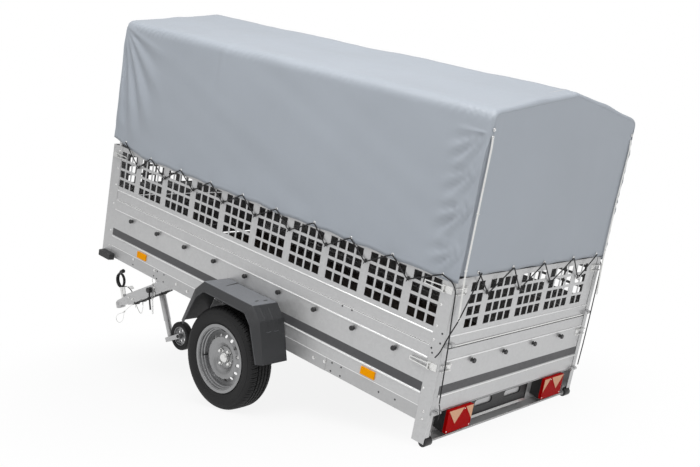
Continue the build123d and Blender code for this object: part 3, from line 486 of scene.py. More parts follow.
class Finish:
    """A material being built: a Principled shader and a way to add nodes."""

    def __init__(self, name, base, roughness, metallic=0.0, **fixed):
        self.material = bpy.data.materials.new(name)
        self.material.use_nodes = True
        self.tree = self.material.node_tree
        self.shader = self.tree.nodes["Principled BSDF"]
        self.set(Base_Color=base, Roughness=roughness, Metallic=metallic, **fixed)
        self.material.diffuse_color = (*base, 1)

    def set(self, **values):
        """Feeds the shader's sockets, named with _ for a space."""
        for key, value in values.items():
            self.feed(self.shader.inputs[key.replace("_", " ")], value)

    def feed(self, socket, value):
        """Links a wire to a socket, or gives it a number or a colour."""
        if isinstance(value, Wire):
            self.tree.links.new(value.socket, socket)
        elif hasattr(value, "__len__"):
            socket.default_value = (*value, 1.0)[:len(socket.default_value)]
        else:
            socket.default_value = value

    def node(self, kind, settings, *values, out=0, **named):
        """Adds a node: its settings first, then its sockets in order or by name."""
        made = self.tree.nodes.new(kind)
        for key, value in settings.items():
            setattr(made, key, value)
        for socket, value in zip(made.inputs, values):
            self.feed(socket, value)
        for key, value in named.items():
            self.feed(made.inputs[key.replace("_", " ")], value)
        return Wire(self, made.outputs[out])

    def where(self):
        """The point in the row's frame."""
        return self.node("ShaderNodeTexCoord", {}, out="Object")

    def uv(self, axis):
        """The piece's own UV, as one number along or across it."""
        point = self.node("ShaderNodeTexCoord", {}, out="UV")
        return self.node("ShaderNodeSeparateXYZ", {}, point, out=axis)

    def along(self, place, axis):
        """How far a point lies along one axis of a frame."""
        direction = place.axes[axis]
        dot = self.node(
            "ShaderNodeVectorMath", {"operation": "DOT_PRODUCT"}, self.where(),
            tuple(direction), out="Value")
        return dot - float(direction @ place.origin)

    def stretched(self, x, y, z):
        """The point with its axes scaled."""
        return self.node(
            "ShaderNodeVectorMath", {"operation": "MULTIPLY"}, self.where(), (x, y, z))

    def noise(self, scale, detail=3, roughness=0.5, point=None):
        """Cloudy noise from 0 to 1."""
        return self.node(
            "ShaderNodeTexNoise", {}, Vector=point or self.where(), Scale=scale,
            Detail=detail, Roughness=roughness)

    def cells(self, scale, out="Distance"):
        """Cells round scattered points: how far the nearest is, or a colour for each."""
        return self.node("ShaderNodeTexVoronoi", {}, Vector=self.where(), Scale=scale, out=out)

    def mix(self, share, first, second, blend="MIX"):
        """A mix of two colours. The numbers are those of the node's colour sockets."""
        made = self.tree.nodes.new("ShaderNodeMix")
        made.data_type, made.blend_type = "RGBA", blend
        for index, value in ((0, share), (6, first), (7, second)):
            self.feed(made.inputs[index], value)
        return Wire(self, made.outputs[2])

    def lit(self, base, light):
        """A colour times a number."""
        return self.mix(1.0, base, light, "MULTIPLY")

    def bump(self, height, depth, strength):
        """Raises the surface by height times depth."""
        self.set(Normal=self.node(
            "ShaderNodeBump", {}, Strength=strength, Distance=depth, Height=height))


# ---- Finishes ---------------------------------------------------------------------

# Heights on the bed: beads that get a painted highlight, and the walls' dark band
WALL_BEADS = ((0.1265, 0.1335), (0.2965, 0.3035), (0.3575, 0.3610))
RAIL_BEADS = ((0.0665, 0.0740),)
MESH_BEADS = ((0.4165, 0.4235), (0.3600, 0.3635))
STRIPE = (0.1375, 0.1815)
EDGE_SOFT = 0.0006
# How much brighter the tops of the mudguards are painted than their sides: painted light on the lit tops
TOP_LIGHT_GAIN = 6.4


def zinc_finish(name, base, roughness=0.42, metallic=0.65, stripe=None, worn=()):
    """Hot-dip zinc: crystals of a slightly different grey, cloudy dulling, fine pits and
    faint rolling lines. stripe adds the dark band of the walls, and the last argument
    gives the heights of beads and edges that get a painted highlight."""
    f = Finish(name, base, roughness, metallic)
    crystals = f.cells(75, out="Color")
    crystal = f.node("ShaderNodeSeparateColor", {}, crystals, out="Red")
    cloud = f.noise(3.2, 5, 0.6)
    rolling = f.noise(14, 2, point=f.stretched(0.6, 0.6, 14))
    light = 0.90 + crystal * 0.07 + (cloud - 0.5) * 0.16 + (rolling - 0.5) * 0.05
    tone = f.lit(base, light)
    dull = roughness + (cloud - 0.5) * 0.22 + (crystal - 0.5) * 0.10
    height = f.noise(900, 2) * 0.5 + f.cells(75) * 0.5
    level = f.along(BED, 2)
    # Painted highlight: beads and edges are lightened where light catches them
    for low, high in worn:
        highlit = level.between(low, high, EDGE_SOFT) * (0.72 + cloud * 0.35)
        tone = f.mix(highlit, tone, shade("worn"))
        dull = dull - highlit * 0.08
    if stripe is not None:
        mask = stripe(f)
        tone = f.mix(mask, tone, f.lit(shade("stripe"), 0.85 + cloud * 0.3))
        dull = dull + mask * 0.05
        f.set(Metallic=metallic * (1 - mask))
    f.set(Base_Color=tone, Roughness=dull)
    f.bump(height, 0.0004, 0.35)
    return f.material


def striped(name, outer):
    """The walls' sheet. outer(f) is 1 on the outer face, which alone has the dark band."""

    def mask(f):
        return f.along(BED, 2).between(*STRIPE, EDGE_SOFT) * outer(f)

    return zinc_finish(name, shade("zinc"), stripe=mask, worn=WALL_BEADS)


@cache
def zinc():
    return zinc_finish("Galvanised sheet", shade("zinc"))


@cache
def rail_zinc():
    """The rails and their sleeves, with a painted highlight along their upper edge."""
    return zinc_finish("Rail sheet", shade("zinc", 0.86), worn=RAIL_BEADS)


@cache
def mesh_zinc():
    """The punched panels, with a painted highlight along the bead and the lower edge."""
    return zinc_finish("Punched sheet", shade("zinc"), worn=MESH_BEADS)


@cache
def bright_zinc():
    return zinc_finish("Bright zinc", shade("bright"), 0.26, 0.9)


@cache
def wall_zinc():
    return striped("Striped side sheet", lambda f: abs(f.along(BED, 1)).above(
        HALF_WIDTH - 0.0012, HALF_WIDTH - 0.0008))


@cache
def gate_zinc():
    return striped("Striped tailgate sheet", lambda f: 1 - f.along(BED, 0).above(
        0.0026, 0.0032))


@cache
def front_zinc():
    return striped("Striped front sheet", lambda f: f.along(BED, 0).above(
        BED_LENGTH - 0.0012, BED_LENGTH - 0.0008))


def moulded(name, base, roughness, grain, depth, top=None):
    """Moulded plastic: a leather-like grain, with a little wear and dust. Above the bed
    height top its colour is lightened, a painted highlight where light falls on the top."""
    f = Finish(name, base, roughness)
    tone = base
    # Painted highlight: above this height the colour is lightened where light falls on the top
    if top:
        tone = f.mix(f.along(BED, 2).above(top - 0.003, top), base, shade("guard", TOP_LIGHT_GAIN))
    dust = f.noise(5, 5, 0.6)
    scuff = f.noise(60, 4, 0.7)
    f.set(
        Base_Color=f.lit(tone, 0.8 + dust * 0.35 + scuff * 0.1),
        Roughness=roughness + (scuff - 0.5) * 0.25)
    f.bump(f.cells(grain) + f.noise(grain * 2, 2) * 0.6, depth, 0.6)
    return f.material


@cache
def black_plastic_and_shade():
    return moulded("Black plastic", shade("plastic"), 0.42, 900, 0.0003)


@cache
def guard_plastic():
    # The top face of the mudguards gets a painted highlight
    top = GUARD_TOP - 0.001
    return moulded("Mudguard plastic", shade("guard"), 0.55, 520, 0.0006, top)


@cache
def guard_highlight():
    """Edges of the mudguards, paler than their faces: a painted highlight."""
    return moulded("Mudguard edge", shade("guard", 2.6), 0.5, 520, 0.0004)


@cache
def tyre_rubber():
    """Tyre rubber: matt, with dust in its hollows and faint moulding swirls. Rings round
    the axle mark the rim's edge, the lettering's band and the ribbed shoulder."""
    f = Finish("Tyre rubber", shade("tyre"), 0.62, Specular_IOR_Level=0.35)
    dust = f.noise(7, 6, 0.65)
    f.set(
        Base_Color=f.mix(dust.above(0.52, 0.85) * 0.35, shade("tyre"), shade("tyre", 3.2)),
        Roughness=0.55 + dust * 0.2)
    across, up = f.along(AXLE_PLACE, 0), f.along(AXLE_PLACE, 2)
    radius = (across * across + up * up) ** 0.5
    edge = radius.between(0.1965, 0.1985, 0.0006)
    band = radius.between(0.2300, 0.2400, 0.0008) * 0.6
    ribs = radius.wave(0.0032) * radius.between(0.241, 0.256, 0.002) * 0.5
    f.bump(f.noise(420, 3) * 0.3 + edge + band + ribs, 0.0008, 0.6)
    return f.material


@cache
def rim_paint():
    """Silver paint with fine orange peel and dust."""
    base = shade("rim")
    f = Finish("Rim paint", base, 0.36, 0.85, Coat_Weight=0.1, Coat_Roughness=0.2)
    dust = f.noise(12, 5, 0.6)
    f.set(Base_Color=f.lit(base, 0.88 + dust * 0.2), Roughness=0.28 + dust * 0.2)
    f.bump(f.noise(260, 2), 0.0002, 0.3)
    return f.material


def prisms(name, base, axis, pitch, dark, gain, depth, strength, field=None):
    """Lamp plastic with rows of small prisms over an axis of the bed and its height.
    field(f) is 1 on its pale part."""
    f = Finish(name, base, 0.3, Specular_IOR_Level=0.02)
    rows = f.along(BED, axis).wave(pitch) * f.along(BED, 2).wave(pitch)
    tone = f.mix(field(f), base, shade("pale")) if field else base
    f.set(Base_Color=f.lit(tone, dark + rows * gain))
    f.bump(rows, depth, strength)
    return f.material


@cache
def lamp_red():
    """The rear lenses: red, and pale where the triangular fields stand proud."""
    return prisms(
        "Lamp red", shade("red"), 1, 0.007, 0.80, 0.3, 0.0008, 0.5,
        lambda f: 1 - f.along(BED, 0).above(-0.0152, -0.0147))


@cache
def amber():
    return prisms("Amber reflector", shade("amber"), 0, 0.004, 0.85, 0.2, 0.0005, 0.35)


@cache
def board():
    """Coated plywood: dark film with a pressed wire pattern and patches of wear."""
    f = Finish("Floor board", shade("board"), 0.5)
    wear = f.noise(4, 6, 0.65)
    wires = f.along(BED, 0).wave(0.006).highest(f.along(BED, 1).wave(0.006))
    f.set(Base_Color=f.mix(wear.above(0.5, 0.8), shade("board"), shade("board", 1.8)))
    f.bump(wires, 0.0005, 0.5)
    return f.material


STITCH_ROW = 0.034


@cache
def cover_cloth():
    """Coated woven cloth: crossing threads under a smooth coat, soft clouds, a dusty
    hem and rows of stitches beside every edge. U runs along, V up from the hem."""
    base = shade("cover")
    f = Finish("Cover cloth", base, 0.52, Specular_IOR_Level=0.55)
    u, v = f.uv("X"), f.uv("Y")
    weave = u.wave(0.0026) * v.wave(0.0026)
    cloud = f.noise(2.4, 5, 0.55)
    fine = f.noise(34, 4, 0.6)
    stitch = (
        u.share(0.006).between(0.2, 0.8, 0.08)
        * abs(v - STITCH_ROW).between(-1, 0.0007, 0.0003))
    hem = 1 - v.above(0.02, 0.10)
    light = 0.955 + (cloud - 0.5) * 0.09 + (fine - 0.5) * 0.035 + weave * 0.03 - hem * 0.02
    f.set(
        Base_Color=f.lit(base, light - stitch * 0.12),
        Roughness=0.47 + (fine - 0.5) * 0.14 + weave * 0.05)
    f.bump(weave * 0.35 + fine * 1.2 - stitch, 0.0006, 0.35)
    return f.material


@cache
def elastic():
    """Black braided elastic: a fine spiral of threads along its UV."""
    base = (0.012, 0.012, 0.013)
    f = Finish("Black elastic", base, 0.7)
    u, v = f.uv("X"), f.uv("Y")
    braid = (u + v * 0.02).wave(0.004) * (u - v * 0.02).wave(0.004)
    f.set(Base_Color=f.lit(base, 0.7 + braid * 0.9))
    f.bump(braid, 0.0006, 0.6)
    return f.material


@cache
def webbing():
    """White woven strap."""
    base = shade("webbing")
    f = Finish("White strap", base, 0.6, Sheen_Weight=0.2)
    ribs = f.along(BED, 2).wave(0.0022)
    f.set(Base_Color=f.lit(base, 0.86 + ribs * 0.12 + f.noise(40, 3) * 0.05))
    f.bump(ribs, 0.0004, 0.5)
    return f.material


# ---- Stage ------------------------------------------------------------------------

# The photograph's camera: its lens on a 36 mm sensor, its place from the axle's middle,
# and how far it is turned from ahead, tipped down and rolled, in degrees
LENS, SENSOR = 48.14, 36.0
CAMERA_BACK, CAMERA_LEFT, CAMERA_UP = 3.77486, 3.91231, 1.26614
CAMERA_TURN, CAMERA_DOWN, CAMERA_ROLL = -47.458, 4.075, -0.55
# The grey of the floor, and how white it looks to the camera near by and from afar
FLOOR_GREY = 0.64
FLOOR_NEAR, FLOOR_FAR = 0.88, 0.12

class TRAILER_OT_stage(bpy.types.Operator):
    """Pale floor and background, soft light, and the camera"""

    bl_idname = "trailer.stage"
    bl_label = "Stage"

    def execute(self, context):
        scene = context.scene
        studio = scene.trailer_studio
        scene.view_settings.view_transform = "Standard"
        self.floor()
        self.sky(studio.sky)
        self.lamp("Key lamp", (-1.6, 2.2, 5.2), (0.2, 0, 0.7), 3.6, studio.key)
        self.lamp("Fill lamp", (-6.4, 1.2, 2.4), (0, 0, 0.9), 3.0, studio.fill)
        self.camera(scene)
        return {"FINISHED"}

    def floor(self):
        """A wide white floor. To the camera most of it shines white, and all of it a few
        steps away, so that it takes the shadow and fades into the background."""
        mesh = bpy.data.meshes.new("studio_floor")
        corners = [(-1, -1), (1, -1), (1, 1), (-1, 1)]
        reach = 60.0
        mesh.from_pydata([(reach * x, reach * y, 0) for x, y in corners], [], [(0, 1, 2, 3)])
        ground = bpy.data.objects.new("studio_floor", mesh)
        bpy.context.scene.collection.objects.link(ground)
        f = Finish("Studio floor", (FLOOR_GREY,) * 3, 0.9, Specular_IOR_Level=0.0)
        camera, mirror, through = (
            f.node("ShaderNodeLightPath", {}, out=f"Is {ray} Ray")
            for ray in ("Camera", "Glossy", "Transmission"))
        seen = camera.highest(mirror).highest(through)
        shine = f.node("ShaderNodeEmission", {}, (1.0, 1.0, 1.0), 1.0)
        away = f.node("ShaderNodeVectorMath", {"operation": "LENGTH"}, f.where(), out="Value")
        white = FLOOR_NEAR + away.above(0.8, 2.4) * FLOOR_FAR
        mixed = f.node("ShaderNodeMixShader", {}, seen * white)
        node = mixed.socket.node
        f.tree.links.new(f.shader.outputs[0], node.inputs[1])
        f.tree.links.new(shine.socket, node.inputs[2])
        f.tree.links.new(mixed.socket, f.tree.nodes["Material Output"].inputs["Surface"])
        mesh.materials.append(f.material)

    def sky(self, strength):
        """Even light, a little stronger from above. The camera and mirrors see white."""
        world = bpy.data.worlds.new("Studio")
        bpy.context.scene.world = world
        world.use_nodes = True
        tree = world.node_tree
        tree.nodes.clear()
        new, link = tree.nodes.new, tree.links.new
        path, out, seen, glow, white, mixed, where, parts, slope = (
            new("ShaderNode" + kind) for kind in (
                "LightPath", "OutputWorld", "Math", "Background", "Background", "MixShader",
                "TexCoord", "SeparateXYZ", "MapRange"))
        seen.operation = "MAXIMUM"
        link(path.outputs["Is Camera Ray"], seen.inputs[0])
        link(path.outputs["Is Transmission Ray"], seen.inputs[1])
        link(where.outputs["Generated"], parts.inputs[0])
        link(parts.outputs["Z"], slope.inputs["Value"])
        limits = (-0.1, 1.0, strength * 0.62, strength * 1.40)
        for key, value in zip(("From Min", "From Max", "To Min", "To Max"), limits):
            slope.inputs[key].default_value = value
        link(slope.outputs["Result"], glow.inputs["Strength"])
        link(seen.outputs[0], mixed.inputs["Fac"])
        link(glow.outputs[0], mixed.inputs[1])
        link(white.outputs[0], mixed.inputs[2])
        white.inputs["Color"].default_value = (1, 1, 1, 1)
        link(mixed.outputs[0], out.inputs["Surface"])

    def lamp(self, name, spot, aim, size, power):
        """A square soft lamp at spot, turned to aim."""
        data = bpy.data.lights.new(name, "AREA")
        data.shape, data.size, data.energy = "SQUARE", size, power
        lamp = bpy.data.objects.new(name, data)
        bpy.context.scene.collection.objects.link(lamp)
        down = np.array(aim, float) - spot
        heading, drop = atan2(down[1], down[0]), atan2(down[2], hypot(down[0], down[1]))
        lamp.matrix_world = (
            Matrix.Translation(spot) @ Matrix.Rotation(heading - pi / 2, 4, "Z")
            @ Matrix.Rotation(pi / 2 + drop, 4, "X"))

    def camera(self, scene):
        """The photograph's view, from behind and to the left."""
        data = bpy.data.cameras.new("Camera")
        data.lens, data.sensor_width = LENS, SENSOR
        camera = bpy.data.objects.new("Camera", data)
        scene.collection.objects.link(camera)
        camera.matrix_world = (
            Matrix.Translation((AXLE[0] - CAMERA_BACK, CAMERA_LEFT, CAMERA_UP))
            @ Matrix.Rotation(radians(CAMERA_TURN - 90), 4, "Z")
            @ Matrix.Rotation(radians(90 - CAMERA_DOWN), 4, "X")
            @ Matrix.Rotation(radians(CAMERA_ROLL), 4, "Z"))
        scene.camera = camera


# ---- Frame parts that keep their CAD shape ----------------------------------------

EDGE_WIDTH = 0.0009

class TRAILER_OT_frame(bpy.types.Operator):
    """Finishes of the CAD parts that are shown as they are"""

    bl_idname = "trailer.frame"
    bl_label = "Frame finishes"

    def execute(self, context):
        finishes = {
            wall_zinc: ("side_walls",),
            gate_zinc: ("tailgate",),
            front_zinc: ("front_wall",),
            zinc: (
                "cross_members", "front_beam", "rear_beam", "corner_posts", "axle_brackets",
                "drawbar", "drawbar_pivot", "cover_legs", "cover_bows", "gate_hinges",
                "jockey_clamp", "jockey_tube", "jockey_leg", "jockey_fork", "jockey_crank",
                "coupling_head"),
            rail_zinc: ("side_rails", "rail_sleeves"),
            mesh_zinc: ("mesh_sides", "mesh_front", "mesh_gate"),
            bright_zinc: (
                "rear_latches", "front_latches", "tailgate_catches", "mesh_gate_catches",
                "coupling_lever", "hub_left", "hub_right"),
            black_plastic_and_shade: (
                "axle", "lamp_housings", "plate_holder", "corner_blocks", "side_knobs",
                "tailgate_knobs", "rear_rollers"),
            tyre_rubber: ("jockey_tyre",),
            rim_paint: ("rim_left", "rim_right", "jockey_rim"),
            guard_plastic: ("mudguards",),
            lamp_red: ("lamp_lenses",),
            amber: ("side_reflectors",),
            board: ("floor",),
        }
        for finish, names in finishes.items():
            for name in names:
                node = frame["nodes"][name]
                for slot in node.material_slots:
                    slot.material = finish()
                weld = node.modifiers.new("Weld", "WELD")
                weld.merge_threshold = DOUBLES
                edge = node.modifiers.new("Edges", "BEVEL")
                edge.width, edge.segments, edge.limit_method = EDGE_WIDTH, 2, "ANGLE"
                edge.angle_limit = radians(40)
        return {"FINISHED"}


# ---- Cover ------------------------------------------------------------------------

# The cloth's own sizes, its heights and ends on the bed, and the spots that hold it
CLOTH_FACE = HALF_WIDTH + 0.0026
COVER_HEM, COVER_EAVES, COVER_RIDGE = 0.664, 1.430, 1.540
EAVES_ROUND = 0.050
COVER_REAR, COVER_FRONT = -0.0175, BED_LENGTH + 0.0175
CURTAIN_HEM = 0.700
END_ROUND = 0.022
# How much lower the front panel hangs in its middle, and how far up a lifted hem is felt
FRONT_DROP = 0.052
HEM_REACH = 0.22
HOOPS = np.linspace(0.060, BED_LENGTH - 0.060, 4)
SIDE_EYELETS = np.array([0.078, 0.371, 0.636, 0.886, 1.163, 1.431, 1.704, 1.975, 2.26, 2.53])
CURTAIN_EYELETS = np.array([-0.54, -0.30, -0.02, 0.25, 0.53])


def steps_over(*runs):
    """Stations along a length: each run is (end, step), starting from 0."""
    stations, start = [np.zeros(1)], 0.0
    for end, step in runs:
        count = max(1, int(round((end - start) / step)))
        stations.append(np.linspace(start, end, count + 1)[1:])
        start = end
    return np.concatenate(stations)


def bell(value, width):
    """1 at 0, and falling away smoothly over this width."""
    return np.exp(-((value / width) ** 2))


def nearest(values, spots):
    """How far each value is from the nearest spot."""
    return np.abs(values[..., None] - spots).min(axis=-1)


def slack_between(gap, reach, h, height):
    """Slack of a hem away from its eyelets, fading out above the hem."""
    return np.sin(np.clip(gap / reach, 0, 1) * pi / 2) ** 2 * bell(h, height)


def waves(x, y, pitch, seed):
    """Soft unevenness of about -1 to 1: five sines of about this pitch that run in
    different directions, added and divided by the root of their number."""
    rng = np.random.default_rng(seed)
    turn, phase = rng.uniform(0, tau, (2, 5))
    pitches = pitch * rng.uniform(0.7, 1.5, 5)
    parts = [
        np.sin(tau * (x * cos(t) + y * sin(t)) / p + ph)
        for t, ph, p in zip(turn, phase, pitches)]
    return sum(parts) / 5**0.5


class Girth:
    """The cover's section: from the left hem over the eaves and the ridge to the right
    hem, as points and outward normals at stations of arc length."""

    def __init__(self):
        half = rounded_line(
            [(CLOTH_FACE, COVER_HEM), (CLOTH_FACE, COVER_EAVES), (0, COVER_RIDGE)],
            EAVES_ROUND, 0.002)
        run = arc_of(half)
        self.half_length = run[-1]
        self.side = COVER_EAVES - EAVES_ROUND - COVER_HEM
        self.corner = self.side + 0.040
        low = steps_over((self.side - 0.06, 0.018), (self.corner, 0.005))
        high = self.corner + steps_over((0.09, 0.006), (self.half_length - self.corner, 0.034))
        rise = np.concatenate([low, high[1:]])
        self.corner_at = len(low) - 1
        self.h = np.concatenate([rise, rise[-2::-1]])
        y = np.interp(rise, run, half[:, 0])
        z = np.interp(rise, run, half[:, 1])
        self.y, self.z = np.concatenate([y, -y[-2::-1]]), np.concatenate([z, z[-2::-1]])
        ty, tz = np.gradient(self.y), np.gradient(self.z)
        size = np.hypot(ty, tz)
        self.ny, self.nz = tz / size, -ty / size
        self.left = np.concatenate([np.ones(len(rise)), -np.ones(len(rise) - 1)])

    def parts(self, ring):
        """A ring's left side, its top and its right side, each side from the hem up."""
        corner, last = self.corner_at, len(self.h) - 1
        return ring[:corner + 1], ring[corner:last - corner + 1], ring[:last - corner - 1:-1]


def fan(x, h, centre, folds):
    """Folds that spread from a pinched point: each is (degrees below the line towards
    the rear, length, width, height), a ridge that widens away from the point."""
    raised = 0 * x
    for turn, reach, width, height in folds:
        dx, dh = -cos(radians(turn)), -sin(radians(turn))
        on = (x - centre[0]) * dx + (h - centre[1]) * dh
        across = (x - centre[0]) * dh - (h - centre[1]) * dx
        wide = width * (0.35 + np.clip(on, 0, None) / reach)
        raised = raised + (
            height * bell(across, wide)
            * smooth(on, 0, 0.15 * reach) * (1 - smooth(on, 0.55 * reach, reach)))
    return raised


FRONT_FOLDS = (
    (86, 0.80, 0.030, 1.0), (80, 0.74, 0.020, -0.8), (73, 0.78, 0.030, 1.1),
    (66, 0.70, 0.022, -0.9), (58, 0.74, 0.034, 1.0), (49, 0.62, 0.024, -0.7),
    (39, 0.66, 0.034, 0.7), (28, 0.50, 0.024, -0.5), (16, 0.52, 0.026, 0.5))
# Where the front panel's fans start, as (y, height above the hem)
FRONT_CORNER = (0.64, 0.72)
# The heights above the hem and the strengths of the fans at the rear corners
REAR_FANS = ((0.52, 0.7), (0.36, 1.0), (0.17, 0.9))
REAR_FOLDS = (
    (150, 0.26, 0.014, 1.1), (163, 0.26, 0.012, -0.8), (178, 0.20, 0.014, 0.6),
    (140, 0.28, 0.013, -1.0), (128, 0.30, 0.015, 1.1), (116, 0.26, 0.013, -0.7))


def cover_relief(x, h, left):
    """How far the cloth stands out from its plain section: the sum of slack, sag between
    hoops, fans of folds at the corners, gathers along the eaves and pulls at the hem."""
    s, g = sizes(), GIRTH
    above = h - g.corner
    roof = smooth(h, g.corner + 0.03, g.corner + 0.16)
    between = np.sin(pi * (x - HOOPS[0]) / (HOOPS[1] - HOOPS[0])) ** 2
    raised = (
        -s.sag * roof * between * (1 - smooth(h, 1.30, g.half_length))
        + 0.0022 * waves(x, h, 0.55, 3) * smooth(h, 0.02, 0.2)
        + 0.0009 * waves(x, h + left, 0.16, 5) + 0.005 * roof * bell(h - 1.10, 0.06))
    low = smooth(h, 0.0, 0.1) * (1 - roof)
    side_x = x + 0.03 * (1 - left)
    raised = raised + s.fold * fan(side_x, h, (COVER_FRONT - 0.01, g.side + 0.02), FRONT_FOLDS)
    for height, size in ((g.side - 0.05, 0.8), *REAR_FANS):
        raised = raised + s.fold * size * 0.8 * low * fan(
            side_x, h, (COVER_REAR + 0.005, height), REAR_FOLDS)
    seam = bell(above + 0.005, 0.030)
    uneven = 0.35 + 0.65 * smooth(waves(x, h, 0.5, 11), -0.4, 0.9) + 0.7 * smooth(x, 1.5, 2.5)
    large = np.sin(tau * (x + 0.55 * above) / 0.043 + 2.2 * waves(x, 0 * x, 0.30, 13))
    small = np.sin(tau * (x - 0.9 * above) / 0.026 + 3 * waves(x, 0 * x, 0.2, 17))
    raised = (
        raised + s.pucker * 0.6 * seam * uneven * large + s.pucker * 0.25 * seam * uneven * small
        - 0.0012 * bell(above - 0.045, 0.004) + 0.0011 * bell(above - 0.052, 0.004))
    gap = nearest(x, SIDE_EYELETS)
    pull = bell(gap, 0.028) * bell(h, 0.10)
    raised = raised - 0.0018 * pull + 0.0035 * slack_between(gap, 0.14, h, 0.06)
    raised = raised + 0.0025 * bell(gap, 0.016) * smooth(h, 0.02, 0.05) * (
        1 - smooth(h, 0.05, 0.16))
    # The cloth never sinks into a hoop
    return np.maximum(raised, -0.0008 - 0.02 * smooth(nearest(x, HOOPS), 0.012, 0.055))


def hem_rise(x):
    """How far the hem lifts: a little between eyelets and much at the front corner."""
    return (
        0.008 * smooth(nearest(x, SIDE_EYELETS), 0.01, 0.13)
        + 0.055 * smooth(x, 2.30, COVER_FRONT)
        + 0.003 * waves(x, 0 * x, 0.4, 23) + 0.004)


GIRTH = Girth()


def cover_rings():
    """Points of the main sheet, ring by ring from the rear slit to the front edge:
    section point plus relief along its normal, drawn in round the two ends."""
    g = GIRTH
    straight = COVER_FRONT - COVER_REAR - 2 * END_ROUND
    middle = COVER_REAR + END_ROUND + steps_over(
        (0.30, 0.009), (straight - 0.35, 0.014), (straight, 0.009))
    bend = np.linspace(0, pi / 2, 6)[1:]
    x = np.concatenate([0 * bend + middle[0], middle, 0 * bend + middle[-1]])[:, None]
    rear = np.concatenate([bend[::-1], 0 * middle, 0 * bend])[:, None]
    front = np.concatenate([0 * bend, 0 * middle, bend])[:, None]
    on_roof = smooth(g.h, g.side - 0.13, g.side - 0.03)[None]
    x = x + END_ROUND * np.sin(front) - END_ROUND * np.sin(rear) * on_roof
    x = x - (1 - on_roof) * (END_ROUND - 0.005) * rear / (pi / 2)
    inset = END_ROUND * (1 - np.cos(front)) + END_ROUND * (1 - np.cos(rear)) * on_roof
    inset = inset - (1 - on_roof) * 0.0015 * (rear / (pi / 2)) ** 2
    h, left = g.h[None] + 0 * x, g.left[None] + 0 * x
    fade = 1 - 0.85 * (np.sin(front) ** 2) - 0.85 * (np.sin(rear) * on_roof) ** 2
    out = cover_relief(x, h, left) * fade - inset
    y, z = g.y + g.ny * out, g.z + g.nz * out
    z = z + hem_rise(x) * (1 - smooth(h, 0, HEM_REACH))
    return np.stack([x, y, z], -1), np.stack([x, np.broadcast_to(h, x.shape)], -1)


def end_panel(left, top, right, face, relief, drop=0.0):
    """A panel that fills three edges and a hem, which hangs lower by drop between its
    ends: a Coons patch, which is the sum of the two ruled surfaces less the one through
    the four corners. relief(y, z) moves it along x, and fades out at the edges."""
    s = np.linspace(0, 1, len(top))[None, :, None]
    t = (left[:, 2] - left[0, 2])[:, None, None] / (left[-1, 2] - left[0, 2])
    bottom = left[0] * (1 - s[0]) + right[0] * s[0]
    across = np.minimum(s[..., 0], 1 - s[..., 0])
    bottom[:, 2] -= drop * smooth(across[0], 0, 0.10)
    points = (
        (1 - s) * left[:, None] + s * right[:, None] + (1 - t) * bottom[None] + t * top[None]
        - (1 - s) * (1 - t) * left[0] - s * (1 - t) * right[0]
        - (1 - s) * t * left[-1] - s * t * right[-1])
    y, z = points[..., 1], points[..., 2]
    fade = smooth(across, 0, 0.05) * smooth(1 - t[..., 0], 0, 0.06)
    points[..., 0] += face * relief(y, z) * fade
    return points, np.stack([y, z - COVER_HEM + 0 * y], -1)


def front_relief(y, z):
    """Folds of the front panel: two fans from its upper corners, and slack."""
    h = z - COVER_HEM
    raised = 0.003 * waves(y, z, 0.4, 31) + 0.001 * waves(y, z, 0.12, 33)
    for side in (1, -1):
        raised = raised + 0.005 * fan(side * y, h, FRONT_CORNER, FRONT_FOLDS)
    return raised


def curtain_relief(y, z):
    """Folds of the rear curtain: soft upright ones beside its laced edges, and puckers
    above its eyelets."""
    h = z - CURTAIN_HEM
    edge = CLOTH_FACE - abs(y)
    uneven = 0.6 + 0.4 * waves(y, z, 0.5, 41)
    folds = np.sin(tau * edge / 0.045) * np.exp(-edge / 0.05) * uneven
    raised = 0.0018 * folds * smooth(h, -0.02, 0.2) + 0.0022 * waves(y, z, 0.6, 43)
    gap = nearest(y, CURTAIN_EYELETS)
    pull, slack = bell(gap, 0.02) * bell(h, 0.09), slack_between(gap, 0.13, h, 0.05)
    return raised + 0.0006 * waves(y, z, 0.15, 47) + 0.002 * pull + 0.004 * slack


